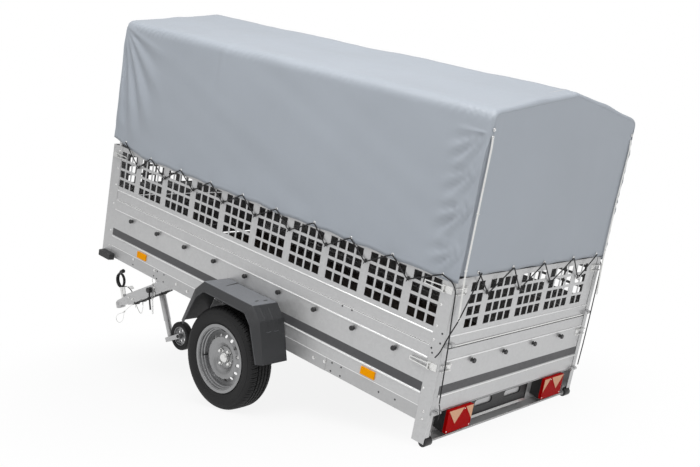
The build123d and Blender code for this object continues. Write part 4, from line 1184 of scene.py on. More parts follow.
class TRAILER_OT_cover(bpy.types.Operator):
    """The high cloth cover: its main sheet with the front panel, and the rear curtain"""

    bl_idname = "trailer.cover"
    bl_label = "Cover"

    def execute(self, context):
        rings, uv = cover_rings()
        self.main_sheet(rings, uv)
        self.curtain(rings[0])
        return {"FINISHED"}

    def main_sheet(self, rings, uv):
        """The roof, both sides and the front panel."""
        left, top, right = GIRTH.parts(rings[-1])
        panel, panel_uv = end_panel(left, top, right, 1, front_relief, FRONT_DROP)
        main = piece(
            "cover_cloth", "bed", cover_cloth(),
            grid(rings, uv=uv) + grid(panel, uv=panel_uv), sharp=60, thickness=sizes().cloth)
        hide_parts("cover", "cover_front")

    def curtain(self, rear):
        """The rear curtain, inside the main sheet's rear ring and tucked round its laced
        edges."""
        g = GIRTH
        side, top, _ = g.parts(rear)
        edge, h = side.copy(), g.parts(g.h)[0]
        low = 1 - smooth(h, g.side - 0.14, g.corner)
        edge[:, 1] -= 0.004 * low
        edge[:, 0] = COVER_REAR
        edge[:, 2] += (CURTAIN_HEM - edge[0, 2]) * (1 - h / h[-1])
        cloth, uv = end_panel(edge, top, edge * (1, -1, 1), -1, curtain_relief)
        beside = np.linspace(0, 1, cloth.shape[1])
        tuck = 1 - smooth(np.minimum(beside, 1 - beside), 0, 0.03)
        cloth[..., 0] += 0.010 * low[:, None] * tuck
        rise = smooth(nearest(cloth[..., 1], CURTAIN_EYELETS), 0.01, 0.12)
        cloth[..., 2] += 0.007 * rise * (1 - smooth(cloth[..., 2] - CURTAIN_HEM, 0, 0.2))
        hung = piece(
            "cover_curtain", "bed", cover_cloth(), grid(cloth, uv=uv),
            sharp=60, thickness=sizes().cloth)
        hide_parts("cover_rear")

    def end_area(self, hem):
        """Area of an end of the cover above this height, with its gable."""
        return 2 * CLOTH_FACE * (COVER_EAVES - hem) + CLOTH_FACE * (COVER_RIDGE - COVER_EAVES)


# ---- Small pieces that are used many times ----------------------------------------


def metal(name, shape, place=BED, body="bed"):
    """A piece of bright zinc."""
    return piece(name, body, bright_zinc(), shape, place)


def plastic(name, shape, place=BED, body="bed"):
    """A piece of black plastic. Holes drawn with it are painted shade."""
    return piece(name, body, black_plastic_and_shade(), shape, place)


def flat_strip(wide, thick):
    """Outline of a flat strip whose lower face lies on its line."""
    return np.array([(-wide, 0), (wide, 0), (wide, thick), (-wide, thick)]) / (2, 1)


def bolt(size, height):
    """A hexagon head of this width across its flats on a round washer, stood on z = 0."""
    washer = plate(ring_of(16, 0.72 * size), 0, 0.15 * height)
    head = plate(ring_of(6, size / 3**0.5), 0.15 * height, height, 0.08 * size)
    return washer + head


def round_head(radius, height):
    """A domed head: h = height * sqrt(1 - (r / radius)^2)."""
    share = np.array([1.0, 0.94, 0.78, 0.5, 0.0])
    return lathe(np.column_stack([radius * share, height * np.sqrt(1 - share**2)]), 16)


def ring(radius, thick, sides=20, turns=10):
    """A round ring in the x, y plane: (R + t cos b) in plan, t sin b in height."""
    b = np.linspace(0, tau, turns + 1)
    return lathe(np.column_stack([radius + thick * np.cos(b), thick * np.sin(b)]), sides)


def nurbs(points, step=0.003):
    """A smooth line that a flexible thing takes: the curve of degree two that has these
    points as its control points, read from Blender and resampled."""
    data = bpy.data.curves.new("route", "CURVE")
    data.dimensions, data.resolution_u = "3D", 12
    spline = data.splines.new("NURBS")
    spline.points.add(len(points) - 1)
    for point, place in zip(spline.points, points):
        point.co = (*place, 1)
    spline.use_endpoint_u, spline.order_u = True, 3
    holder = bpy.data.objects.new("route", data)
    mesh = bpy.data.meshes.new_from_object(holder)
    line = np.array([v.co for v in mesh.vertices])
    bpy.data.objects.remove(holder)
    bpy.data.curves.remove(data)
    bpy.data.meshes.remove(mesh)
    return spaced(line, step)


def braided(line, radius):
    """A tube whose UV runs along it in metres and round it once."""
    shape = tube(line, radius, 8)
    run = arc_of(line)
    run = np.concatenate([run[:1], run, run[-1:]])[:, None]
    around = np.arange(8)[None] / 8 * tau * radius
    shape.uv = np.stack(np.broadcast_arrays(run, around), -1).reshape(-1, 2)
    return shape


# ---- Wheels -----------------------------------------------------------------------

# The wall's section is (distance from the tyre's middle, radius). Block cuts are shares of
# one block's length, each with its depth as a share of the tread's. The turned shapes
# further down are (radius, distance from the wheel's middle).
TYRE_RADIUS = 0.274
TREAD_HALF = 0.0455
TYRE_WALL = (
    (0.0642, 0.1706), (0.0642, 0.1835), (0.0680, 0.1872), (0.0710, 0.1930), (0.0722, 0.1938),
    (0.0728, 0.1975), (0.0752, 0.2050), (0.0766, 0.2150), (0.0772, 0.2250), (0.0768, 0.2350),
    (0.0752, 0.2362), (0.0748, 0.2420), (0.0726, 0.2500), (0.0696, 0.2570), (0.0650, 0.2625),
    (0.0590, 0.2668), (0.0520, 0.2705))
TREAD_GROOVES = ((0.0075, 0.0145), (0.0290, 0.0360))
TREAD_BLOCKS = 68
BLOCK_CUTS = (0.0, 0.13, 0.17, 0.48, 0.50, 0.56, 0.58, 0.97)
CUT_DEPTHS = (1.0, 1.0, 0.0, 0.0, 0.45, 0.45, 0.0, 0.0)


def tyre_section():
    """Half of the tyre's section as (distance from its middle, radius), from the bead
    to the middle of the tread, and how deep grooves and cuts are there."""
    edges = [w + d for pair in TREAD_GROOVES for w in pair for d in (-0.0004, 0.0004)]
    tread = np.array(sorted([*edges, 0.0, 0.0200, 0.0420, TREAD_HALF], reverse=True))
    radius = TYRE_RADIUS - 0.0014 * (tread / TREAD_HALF) ** 2
    half = np.vstack([TYRE_WALL, np.column_stack([tread, radius])])
    w = half[:, 0]
    groove = sum(((w > low) & (w < high)).astype(float) for low, high in TREAD_GROOVES)
    ribs = np.interp(w, [0, 0.030, 0.038, 0.058, 0.068, 0.071], [0.25, 0.35, 0.9, 0.9, 0.35, 0])
    return half, groove, ribs * (half[:, 1] > 0.25)


def road_tyre(side):
    """A tyre round y: its section turned, less the grooves and less the cuts, which run
    across the tread and lean by 1.2 radians a metre."""
    half, groove, ribs = tyre_section()
    both = np.vstack([half, half[-2::-1] * (-1, 1), half[:1]])
    groove, ribs = (np.concatenate([v, v[-2::-1], v[:1]])[:, None] for v in (groove, ribs))
    turn = ((np.arange(TREAD_BLOCKS)[:, None] + BLOCK_CUTS) / TREAD_BLOCKS * tau).ravel()
    cut = np.tile(CUT_DEPTHS, TREAD_BLOCKS)
    depth = np.maximum(groove, ribs * cut) * sizes().tread
    w, r = both[:, :1], both[:, 1:] - depth
    angle = turn[None] + 1.2 * np.abs(w) * (1 + 0 * turn)
    return grid(
        np.stack([r * np.cos(angle), side * w + 0 * angle, r * np.sin(angle)], -1), around=True)


RIM_WELL = (
    (0.1655, 0.0685), (0.1640, 0.0690), (0.1618, 0.0670), (0.1608, 0.0600), (0.1606, 0.0545),
    (0.1560, 0.0520), (0.1545, 0.0470), (0.1545, 0.0410), (0.1500, 0.0380), (0.1490, 0.0330),
    (0.1490, 0.0250), (0.1655, 0.0230), (0.1655, 0.0685))
DISH_RING = (
    (0.0625, 0.0225), (0.0612, 0.0262), (0.0590, 0.0240), (0.0565, 0.0215), (0.0625, 0.0225))
WHEEL_BOLT_CIRCLE = 0.046
DISH_AT_BOLTS = 0.0205
WEIGHT_CIRCLE, WEIGHT_DEPTH = 0.1575, 0.0615
VALVE_STEM = (
    (0, 0.024), (0.0055, 0.024), (0.0050, 0.034), (0.0036, 0.040), (0.0036, 0.052),
    (0.0042, 0.053), (0.0042, 0.061), (0, 0.062))


class TRAILER_OT_wheels(bpy.types.Operator):
    """Road tyres with their tread, stepped rim wells, wheel bolts, valves and weights"""

    bl_idname = "trailer.wheels"
    bl_label = "Wheels"

    def execute(self, context):
        for side, name in ((1, "left"), (-1, "right")):
            body = f"wheel_{name}"
            centre = (AXLE[0], side * AXLE[1], AXLE[2])
            tyre = piece(
                f"tread_{name}", body, tyre_rubber(), road_tyre(side),
                Place(centre, AHEAD, RISE), 40)
            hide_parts(f"tyre_{name}")
            outward = Place(centre, AHEAD, (0, side, 0))
            piece(
                f"rim_well_{name}", body, rim_paint(),
                lathe(RIM_WELL, 96) + lathe(DISH_RING, 64), outward)
            metal(f"wheel_bolts_{name}", self.bolts(), outward, body)
            piece(
                f"valve_{name}", body, black_plastic_and_shade(), self.valve_and_weight(),
                outward)
        self.jockey()
        return {"FINISHED"}

    def bolts(self):
        """Four wheel bolts: a cone seat, a chamfered hexagon and a domed crown."""
        spots = np.column_stack(
            [ring_of(4, WHEEL_BOLT_CIRCLE, pi / 4), np.full(4, DISH_AT_BOLTS)])
        seat = lathe([(0.0135, 0), (0.0115, 0.004), (0.0100, 0.004), (0, 0.004)], 24)
        head = plate(ring_of(6, 0.0098), 0.004, 0.016, 0.0012)
        crown = lathe([(0.0070, 0.016), (0.0055, 0.0185), (0, 0.0190)], 20)
        return copies(seat + head + crown, spots, RISE, AHEAD)

    def valve_and_weight(self):
        """The valve in the rim's disc, and a balance weight inside its edge."""
        stem = lathe(VALVE_STEM, 16).at(Place((0.138, 0, 0), AHEAD, RISE))
        turn = np.linspace(-1.9, -1.72, 9)
        weight = carried(rounded_box(0.010, 0.005, 0.002, 2), np.column_stack([
            WEIGHT_CIRCLE * np.cos(turn), WEIGHT_CIRCLE * np.sin(turn),
            np.full(9, WEIGHT_DEPTH)]))
        return stem + weight

    def jockey(self):
        """A nut and washer at each end of the jockey wheel's axle."""
        low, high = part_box("jockey_fork")
        hub = hinge("jockey_wheel_spin")
        nut = bolt(0.017, 0.008)
        left = copies(nut, [(hub[0], high[1], hub[2])], OUT, AHEAD)
        right = copies(nut, [(hub[0], low[1], hub[2])], (0, -1, 0), AHEAD)
        plastic("jockey_axle_nuts", left + right, ROW, "jockey_fork")


# ---- Mudguards --------------------------------------------------------------------

# The mudguards' outlines are (x, z) from the middle of the wheel's arch
WHEEL_X = 1.241
GUARD_EDGE = (
    (0.2985, -0.050), (0.221, 0.128), (0.163, 0.180), (-0.168, 0.180), (-0.220, 0.132),
    (-0.3024, -0.050))
GUARD_OUT = HALF_WIDTH + 0.200
GUARD_TOP = 0.222
GUARD_BACK = ((-0.190, 0.222), (-0.256, 0.158), (-0.3219, -0.050))
LIP_RADIUS = 0.0022
SEAM = ((1.14, 0.662, GUARD_TOP), (1.36, 0.662, GUARD_TOP))
NOTCH = ((1.350, 0.660), (1.364, 0.660), (1.340, 0.756), (1.336, 0.756))
TOP_SLOTS = ((1.087, 0.7015), (1.096, 0.7535))
LOUVRE_AT = 0.276


class TRAILER_OT_mudguards(bpy.types.Operator):
    """Edge lip, seams, slots and flutes of the moulded mudguards"""

    bl_idname = "trailer.mudguards"
    bl_label = "Mudguards"

    def execute(self, context):
        # The lips and louvres take the paler plastic of a painted highlight
        for name, finish, shape in (
                ("guard_lips", guard_highlight, self.lip()),
                ("guard_seams", black_plastic_and_shade, self.seams()),
                ("guard_flutes", guard_plastic, self.flutes()),
                ("guard_rear_slots", guard_highlight, self.rear_slots())):
            piece(name, "bed", finish(), shape.mirrored())
        return {"FINISHED"}

    def lip(self):
        """A round lip along the outer edge."""
        edge = np.array([(WHEEL_X + x, GUARD_OUT - LIP_RADIUS, z) for x, z in GUARD_EDGE])
        return tube(rounded_line(edge, 0.02, 0.008), LIP_RADIUS, 8, up=OUT)

    def seams(self):
        """Dark lines of the top face: a seam, a notch and two slots, whose black is painted
        shade in the groove and the openings.
        """
        seam = carried(rounded_box(0.0022, 0.0012, 0.0005, 1), SEAM)
        notch = plate(NOTCH, GUARD_TOP - 0.0005, GUARD_TOP + 0.0005)
        slot = plate(rounded_box(0.008, 0.026, 0.003), GUARD_TOP - 0.0004, GUARD_TOP + 0.0006)
        return seam + notch + together(slot.shifted(x, y, 0) for x, y in TOP_SLOTS)

    def flutes(self):
        """Flat raised bands down the rear facets, each a low trapezium carried over them."""
        back = np.array([(WHEEL_X + x, 0, z) for x, z in GUARD_BACK])
        line = rounded_line(back + (-0.0002, 0, 0.0002), 0.012, 0.006)
        low = np.array([(-0.017, -0.0006), (0.017, -0.0006), (0.0145, 0.0012), (-0.0145, 0.0012)])
        return together(carried(low + (y, 0), line[4:-4], up=(-1, 0, 1)) for y in (-0.714, -0.768))

    def rear_slots(self):
        """Two curved louvres in the lower rear facet, in the paler plastic of a painted highlight."""
        (x0, z0), (x1, z1) = GUARD_BACK[1:]
        x, z = WHEEL_X + x0 + (x1 - x0) * LOUVRE_AT, z0 + (z1 - z0) * LOUVRE_AT
        t = np.linspace(-1, 1, 9)
        line = np.column_stack([np.full(9, x - 0.0012), 0.016 * t, z + 0.004 * t**2])
        return together(tube(line + (0, y, 0), 0.0022, 8) for y in (0.714, 0.766))


# ---- Lamps and plate holder -------------------------------------------------------

# In the bed's frame: x of the lens' back and of the plate's rim, and y, z of the lamp
LENS_BACK = -0.014
LAMP_CENTRE = (0.418, -0.012)
LAMP_SCREWS = ((0.088, -0.048), (-0.088, -0.048), (-0.03, 0.046))
BEAM_DEPTH = 0.060
PLATE_RIM_X = 0.0465


class TRAILER_OT_lamps(bpy.types.Operator):
    """Screws of the rear lamps, strips below the plate holder and on the rear beam, and
    the beam's bolts"""

    bl_idname = "trailer.lamps"
    bl_label = "Lamps and plate holder"

    def execute(self, context):
        y, z = LAMP_CENTRE
        spots = [(LENS_BACK - 0.0001, y + a, z + b) for a, b in LAMP_SCREWS]
        metal("lamp_screws", copies(round_head(0.0035, 0.0012), spots, BACK, RISE).mirrored())
        strip = carried(
            flat_strip(0.012, 0.0016),
            [(PLATE_RIM_X, 0.262, -0.0755), (PLATE_RIM_X, -0.262, -0.0755)],
            up=(-0.8, 0, 0.6))
        lip = tube([(0.002, 0.585, -0.088), (0.002, -0.585, -0.088)], 0.0016, 8)
        metal("plate_strip", strip + lip)
        spots = [(BEAM_DEPTH, y, -0.062) for y in (0.24, -0.24)]
        metal("beam_bolts", copies(bolt(0.011, 0.005), spots, BACK, RISE))
        return {"FINISHED"}


# ---- Bolts, holes and fittings of the bed -----------------------------------------

# Bolts, rivets and holes of the left side's outer face, as (x, z)
RAIL_BOLTS = (
    (2.314, 0.053), (2.098, 0.052), (1.879, 0.039), (1.775, 0.031), (0.740, 0.035),
    (0.664, 0.044))
RAIL_HOLES = (
    (2.315, 0.019), (2.067, 0.056), (2.100, 0.018), (2.067, 0.011), (2.002, 0.056), (2.001, 0.013),
    (0.616, 0.056), (0.554, 0.057), (0.617, 0.013), (0.552, 0.013), (0.303, 0.034), (0.202, 0.039))
POST_BOLTS = (
    (0.056, 0.455), (0.056, 0.555), (0.058, 0.390), (0.060, 0.157), (0.034, 0.052),
    (0.034, 0.015))
POST_HOLES = ((0.019, 0.432), (0.020, 0.386), (0.061, 0.350), (0.052, 0.330))
FRONT_RIVETS = [(2.585, z) for z in (0.06, 0.16, 0.33, 0.45, 0.55, 0.66)]
WALL_HOLES = ((0.615, 0.353), (0.551, 0.353))
# The sleeve that covers the rail's middle, and how far it stands proud
SLEEVE = (0.66, 2.07)
SLEEVE_PROUD = 0.002


def on_side(spots, proud=0.0):
    """Points on the outer face of the left side, from (x, z)."""
    return [(x, HALF_WIDTH + proud, z) for x, z in spots]


def on_rail(shape, spots):
    """Copies on the rail's outer face, first those that stand on its sleeve."""
    sleeved = [p for p in spots if SLEEVE[0] < p[0] < SLEEVE[1]]
    bare = [p for p in spots if p not in sleeved]
    return copies(shape, on_side(sleeved, SLEEVE_PROUD) + on_side(bare), OUT, AHEAD)


class TRAILER_OT_fittings(bpy.types.Operator):
    """Bolts, rivets and open holes of the rails, posts, gates and beams; the holes are black discs whose black is
    painted shade.
    """

    bl_idname = "trailer.fittings"
    bl_label = "Bolts and holes"

    def execute(self, context):
        size = sizes().bolt
        heads = on_rail(bolt(0.7 * size, 0.0045), RAIL_BOLTS)
        posts = copies(round_head(0.0062, 0.003), on_side(POST_BOLTS), OUT, AHEAD)
        front = copies(round_head(0.0055, 0.0028), on_side(FRONT_RIVETS), OUT, AHEAD)
        metal("side_bolts", (heads + posts + front).mirrored())
        # The open holes are thin black discs: their black is painted shade inside the holes
        rim = lathe([(0.0050, 0), (0.0048, 0.0005), (0.0036, 0.0005), (0, 0.0004)], 16)
        others = copies(rim, on_side(POST_HOLES + WALL_HOLES), OUT, AHEAD)
        plastic("side_holes", (on_rail(rim, RAIL_HOLES) + others).mirrored())
        stud = bolt(size, 0.009) + lathe([(0.004, 0.009), (0.004, 0.026), (0, 0.026)], 12)
        under = [(x, 0.600, -0.001) for x in (1.906, 1.868, 1.784)]
        metal("rail_studs", copies(stud, under, (0, 0, -1), AHEAD).mirrored())
        drip = carried(
            flat_strip(0.0066, 0.0014), [(0.0002, y, 0.3675) for y in (0.600, -0.600)], up=BACK)
        metal("gate_drip_strip", drip, body="mesh_gate")
        return {"FINISHED"}


# ---- Lacing -----------------------------------------------------------------------

# Heights of eyelets above their hem, and of the hooks on the bed. The curtain's hooks
# are (y, z).
EYELET_RISE = 0.020
CURTAIN_EYELET_RISE = 0.018
HOOK_Z = 0.610
CURTAIN_HOOKS = ((0.393, 0.604), (0.127, 0.594), (-0.152, 0.599), (-0.427, 0.596))
LACE_PROUD = 0.0060
LACE_BELOW_HOOK = 0.004
# How elastic stands off the side's and the curtain's eyelets
SIDE_LIFT, REAR_LIFT = (0, 0.0035, 0), (-0.0045, 0, 0)


def side_cloth(x, h):
    """The point of the left side's cloth at x and h above the hem."""
    x, h = np.broadcast_arrays(np.asarray(x, float), np.asarray(h, float))
    y = CLOTH_FACE + cover_relief(x, h, 1 + 0 * x)
    z = COVER_HEM + h + hem_rise(x) * (1 - smooth(h, 0, HEM_REACH))
    return np.stack([x, y, z], -1)


def eyelet():
    """A rolled eyelet on z = 0: a ring whose section is half an ellipse."""
    size = sizes().eyelet
    a = np.linspace(0, pi, 8)
    roll = np.column_stack([0.72 * size + 0.28 * size * np.cos(a), 0.25 * size * np.sin(a)])
    return lathe(np.vstack([roll, (0.50 * size, -0.0005)]), 24)


def wire_hook():
    """An open hook that stands on z = 0 with its mouth towards +x: a foot, a stem and a
    turned-up nose."""
    foot = plate(rounded_box(0.020, 0.012, 0.004), 0, 0.0022)
    line = rounded_line(
        [(0.002, 0, 0.0015), (0.002, 0, 0.0085), (-0.009, 0, 0.0090), (-0.013, 0, 0.0125)],
        0.004, 0.0015)
    return foot + tube(line, 0.0023, 8)


def laced(eyelets, hooks, lift, radius):
    """Elastic from eyelet to hook to eyelet. lift is how far it stands off an eyelet."""
    route = [eyelets[0] + lift]
    for hook, up in zip(hooks, eyelets[1:]):
        route += [hook, up + lift]
    return braided(rounded_line(route, radius, 0.006), sizes().elastic / 2)


class TRAILER_OT_lacing(bpy.types.Operator):
    """Eyelets, hooks and black elastic that tie the cover down, and the corner straps"""

    bl_idname = "trailer.lacing"
    bl_label = "Lacing"

    def execute(self, context):
        side = side_cloth(SIDE_EYELETS, EYELET_RISE)
        rear = np.array([
            (COVER_REAR - 0.004, y, CURTAIN_HEM + CURTAIN_EYELET_RISE) for y in CURTAIN_EYELETS])
        rings = copies(eyelet(), side + (0, 0.0002, 0), OUT, AHEAD).mirrored()
        metal("cover_eyelets", rings + copies(eyelet(), rear, BACK, RISE))
        hooks = copies(wire_hook(), on_side([(x, HOOK_Z) for x in SIDE_RIBS]), OUT, RISE)
        plastic("side_hooks", hooks.mirrored())
        gate = [(0.0, y, z) for y, z in CURTAIN_HOOKS]
        plastic("gate_hooks", copies(wire_hook(), gate, BACK, RISE), body="mesh_gate")
        hooks = on_side([(x, HOOK_Z - LACE_BELOW_HOOK) for x in SIDE_RIBS[::-1]], LACE_PROUD)
        lace = laced(side[::-1], hooks, SIDE_LIFT, 0.012)
        piece("side_lacing", "bed", elastic(), lace.mirrored())
        hooks = [(-LACE_PROUD, y, z - LACE_BELOW_HOOK) for y, z in CURTAIN_HOOKS]
        lace = laced(rear[::-1], hooks, REAR_LIFT, 0.010)
        piece("rear_lacing", "mesh_gate", elastic(), lace)
        self.corner_elastics(side[0])
        self.straps()
        return {"FINISHED"}

    def corner_elastics(self, last):
        """The elastics that go from the sides' last eyelets round the rear corners and
        down to the lamps' hooks, and a short one from the curtain to the side."""
        left = [
            last + SIDE_LIFT, (0.014, HALF_WIDTH + 0.008, 0.672),
            (-0.009, HALF_WIDTH + 0.006, 0.640), (-0.016, 0.650, 0.480), (-0.018, 0.640, 0.390),
            (-0.020, 0.630, 0.240), (-0.022, 0.622, 0.110)]
        right = [p * np.array((1, -1, 1)) for p in left[:3]] + [
            (-0.016, -0.645, 0.470), (-0.020, -0.640, 0.350), (-0.022, -0.636, 0.200),
            (-0.022, -0.632, 0.080)]
        inner = [
            (-0.024, 0.505, CURTAIN_HEM + 0.014), (-0.024, 0.560, 0.600), (-0.024, 0.612, 0.500)]
        tie = [inner[-1], (-0.018, 0.655, 0.430), (0.003, 0.664, 0.350), (0.020, 0.668, 0.322)]
        tail = [
            (-0.022, 0.622, 0.105), (-0.029, 0.6190, 0.088), (-0.033, 0.6185, 0.060),
            (-0.029, 0.6180, 0.030)]
        wide = sizes().elastic / 2
        lines = [
            braided(rounded_line(route, 0.02, 0.006), wide) for route in (left, right, inner, tie)]
        lines.append(braided(nurbs(tail, 0.005), 0.8 * wide))
        piece("corner_elastics", "bed", elastic(), together(lines))

    def straps(self):
        """White straps down the two rear corners, with an eyelet at the top, keepers
        along them and a metal ring at each lower end."""
        band = rounded_box(sizes().strap, 0.0018, 0.0008, 1)
        behind = COVER_REAR - 0.0085
        left = [
            (behind + 0.004, 0.6360, 1.312), (behind, 0.6375, 1.280), (behind, 0.6370, 0.995),
            (behind, 0.636, 0.722), (-0.026, 0.616, 0.520)]
        right = [
            (behind + 0.004, -0.616, 1.312), (behind, -0.618, 1.280), (behind, -0.612, 0.995),
            (behind, -0.618, 0.700), (-0.026, -0.641, 0.503)]
        bands = [carried(band, rounded_line(route, 0.03, 0.02), up=BACK) for route in (left, right)]
        piece("corner_straps", "bed", webbing(), together(bands))
        ends = [(-0.027, 0.615, 0.510), (-0.027, -0.642, 0.494)]
        keepers = [
            (behind, y, z)
            for y, z in ((0.637, 0.990), (0.636, 0.735), (-0.612, 0.990), (-0.618, 0.735))]
        eyes = [(behind + 0.0045, y, z) for y in (0.6365, -0.6165) for z in (1.318, 1.350)]
        metal(
            "strap_rings", copies(ring(0.0085, 0.0015), ends, BACK, OUT)
            + copies(ring(0.0092, 0.0016).scaled(1, 0.45, 1), keepers, BACK, OUT)
            + copies(eyelet(), eyes, BACK, OUT))


# ---- Gear on the drawbar ----------------------------------------------------------

# All in the drawbar's frame: x ahead from its hinge, z up. Turned shapes are (radius,
# height), and cables are routes through control points.
BEAM_UNDER = -0.040
BEAM_SIDE = 0.030
LEVER_TOP = 0.103
# Straight down, in the tipped drawbar's frame
DOWN = np.array((0.2914, 0.0, -0.9566))
LINK_PITCH = 0.0135
TIES = (0.945, 0.858, 0.770, 0.600)
TIE_UNDER = -0.0525
PLUG = (
    (0, 0), (0.0050, 0), (0.0062, 0.012), (0.0120, 0.018), (0.0135, 0.020), (0.0135, 0.044),
    (0.0150, 0.045), (0.0150, 0.052), (0.0125, 0.054), (0.0120, 0.050), (0, 0.050))
FERRULE = (
    (0, 0), (0.0052, 0), (0.0060, 0.002), (0.0060, 0.016), (0.0052, 0.018), (0, 0.018))
SOCKET = (
    (0, 0), (0.0200, 0), (0.0205, 0.006), (0.0175, 0.008), (0.0175, 0.020), (0.0190, 0.022),
    (0.0190, 0.027), (0, 0.028))
SAFETY_CABLE = (
    (0.985, 0.020, -0.0425), (0.994, 0.022, -0.050), (1.030, 0.026, -0.056),
    (1.070, 0.028, -0.068), (1.105, 0.028, -0.080), (1.150, 0.028, -0.078),
    (1.205, 0.028, -0.080), (1.222, 0.028, -0.112), (1.196, 0.028, -0.143),
    (1.150, 0.028, -0.140), (1.118, 0.028, -0.112), (1.108, 0.028, -0.0905))
LOOSE_LOOP = (
    (0.975, 0.004, -0.0425), (0.968, 0.004, -0.056), (0.954, 0.004, -0.100),
    (0.934, 0.004, -0.130), (0.912, 0.004, -0.118), (0.890, 0.004, -0.085),
    (0.876, 0.004, -0.056), (0.874, 0.004, -0.0425))
COIL_START = (
    (1.022, -0.022, 0.0445), (1.030, -0.022, 0.060), (1.045, -0.020, 0.085),
    (1.070, -0.015, 0.104))
COIL_END = (
    (1.120, 0.014, 0.112), (1.139, 0.017, 0.145), (1.128, 0.018, 0.188),
    (1.100, 0.018, 0.207), (1.070, 0.018, 0.212))


def cable(name, route, thick, finish):
    """A free cable of the drawbar along a route in its frame."""
    line = nurbs(DRAWBAR(route))
    made = piece(name, "drawbar", finish, braided(line, thick / 2), ROW)


def coil_route():
    """The plug's cable: up from the beam's end, three turns that stand on the lever, and
    back to the plug. Turns: (c + a cos u, pitch u, h + b sin u)."""
    u = np.linspace(-0.5 * pi, 5.5 * pi, 37)
    turns = np.column_stack([
        1.098 + 0.043 * np.cos(u), -0.0105 + 0.0075 * (u + 0.5 * pi) / tau,
        LEVER_TOP + 0.0545 + 0.0505 * np.sin(u)])
    return np.vstack([COIL_START, turns, COIL_END])


def chain(start, count):
    """Hanging links: ovals of wire, each turned a quarter round from the last."""
    a = np.linspace(0, tau, 13)[:-1]
    oval = np.column_stack([0 * a, 0.0055 * np.sin(a), 0.0090 * np.cos(a)])
    outward = oval / np.linalg.norm(oval, axis=1)[:, None]
    link = grid(
        [oval + 0.0016 * (np.cos(b) * outward + np.sin(b) * np.array(AHEAD))
         for b in np.linspace(0, tau, 7)], around=True)
    return together(
        link.at(Place(
            start + DOWN * LINK_PITCH * k, OUT if k % 2 else np.cross(OUT, -DOWN), -DOWN))
        for k in range(count))


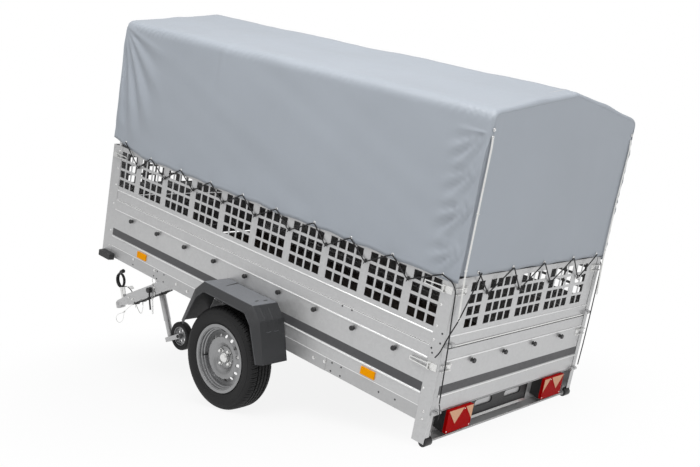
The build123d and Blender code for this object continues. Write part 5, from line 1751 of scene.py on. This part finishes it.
class TRAILER_OT_drawbar_gear(bpy.types.Operator):
    """Plug and its coiled cable, safety cable, chain, pins and the cables under the beam"""

    bl_idname = "trailer.drawbar_gear"
    bl_label = "Drawbar gear"

    def execute(self, context):
        plug = plastic(
            "cable_plug", lathe(PLUG, 32), DRAWBAR.moved(1.074, 0.018, 0.2115).turned(BACK),
            "drawbar")
        cable("plug_cable", coil_route(), 0.0070, elastic())
        ferrule = metal(
            "safety_ferrule", lathe(FERRULE, 20),
            DRAWBAR.moved(1.092, 0.028, -0.075).turned((0.93, 0, -0.36)), "drawbar")
        cable(
            "safety_cable", SAFETY_CABLE, 0.0036, bright_zinc())
        cable("loose_loop", LOOSE_LOOP, 0.0045, bright_zinc())
        self.under_cables()
        self.pins()
        self.socket()
        return {"FINISHED"}

    def under_cables(self):
        """Cables held along the beam's underside by black ties."""
        x = np.linspace(0.52, 0.975, 24)
        lines = [
            np.column_stack([x, np.full(24, y), BEAM_UNDER - 0.0045 - 0.0016 * (1 + np.sin(x * k))])
            for y, k in ((0.016, 52), (0.025, 40), (-0.004, 33))]
        piece(
            "under_cables", "drawbar", elastic(),
            together(braided(line, 0.0035) for line in lines), DRAWBAR)
        loop = carried(
            rounded_box(0.0045, 0.0014, 0.0005, 1),
            rounded_line([
                (0, -0.012, BEAM_UNDER), (0, -0.012, TIE_UNDER), (0, 0.032, TIE_UNDER),
                (0, 0.032, BEAM_UNDER + 0.006)], 0.006, 0.004), up=AHEAD)
        tail = tube(
            [(0, 0.022, TIE_UNDER), (0.002, 0.024, -0.066), (0.008, 0.026, -0.075)], 0.0013, 6)
        ties = together((loop + tail).shifted(x, 0, 0) for x in TIES)
        plastic("cable_ties", ties, DRAWBAR, "drawbar")

    def pins(self):
        """A standing ring on the beam, a strap with a pin, a short chain, and bolts through
        the coupling's shank."""
        stand = ring(0.0200, 0.0021, 28, 8).at(Place((0.684, 0.014, 0.0625), RISE, OUT))
        clip = tube(
            rounded_line([
                (0.684, 0.031, 0.042), (0.684, 0.033, 0.020), (0.676, 0.034, -0.020),
                (0.690, 0.035, -0.048)], 0.01, 0.004), 0.0028, 8)
        spots = [(x, BEAM_SIDE, z) for x, z in ((1.000, 0.012), (0.960, -0.012), (0.672, 0.014))]
        heads = copies(bolt(0.013, 0.007), spots, OUT, AHEAD)
        metal(
            "drawbar_pins", stand + clip + heads + chain((0.706, 0.040, -0.052), 9), DRAWBAR,
            "drawbar")

    def socket(self):
        """The socket for the plug on the beam's side, and its lead."""
        case = lathe(SOCKET, 28).at(Place((0.722, BEAM_SIDE, 0.006), AHEAD, OUT))
        lead = tube(
            rounded_line([
                (0.722, 0.044, -0.008), (0.730, 0.046, -0.040), (0.742, 0.046, -0.090),
                (0.752, 0.044, -0.130)], 0.02, 0.005), 0.0060, 10)
        plastic("plug_socket", case + lead, DRAWBAR, "drawbar")


# ---- Panel, registration and order of work ----------------------------------------


OPERATORS = (
    TRAILER_OT_stage, TRAILER_OT_frame, TRAILER_OT_cover, TRAILER_OT_wheels,
    TRAILER_OT_mudguards, TRAILER_OT_lamps, TRAILER_OT_fittings, TRAILER_OT_lacing,
    TRAILER_OT_drawbar_gear)
GROUPS = {
    "trailer_colours": TrailerColours,
    "trailer_sizes": TrailerSizes,
    "trailer_studio": TrailerStudio,
}


class TRAILER_PT_panel(bpy.types.Panel):
    """The trailer's pieces, colours and sizes"""

    bl_label = "Trailer"
    bl_idname = "TRAILER_PT_panel"
    bl_space_type = "VIEW_3D"
    bl_region_type = "UI"
    bl_category = "Trailer"

    def draw(self, context):
        for operator in OPERATORS:
            self.layout.operator(operator.bl_idname)
        for group in GROUPS:
            box = self.layout.box()
            settings = getattr(context.scene, group)
            for key in settings.__annotations__:
                box.prop(settings, key)


def register():
    for group, kind in GROUPS.items():
        bpy.utils.register_class(kind)
        setattr(bpy.types.Scene, group, PointerProperty(type=kind))
    for kind in (*OPERATORS, TRAILER_PT_panel):
        bpy.utils.register_class(kind)


def unregister():
    for kind in (TRAILER_PT_panel, *reversed(OPERATORS)):
        bpy.utils.unregister_class(kind)
    for group, kind in reversed(GROUPS.items()):
        delattr(bpy.types.Scene, group)
        bpy.utils.unregister_class(kind)


def main():
    """Runs every operator in order."""
    register()
    for operator in OPERATORS:
        getattr(bpy.ops.trailer, operator.bl_idname.split(".")[1])()
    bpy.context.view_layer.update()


if __name__ == "__main__":
    main()
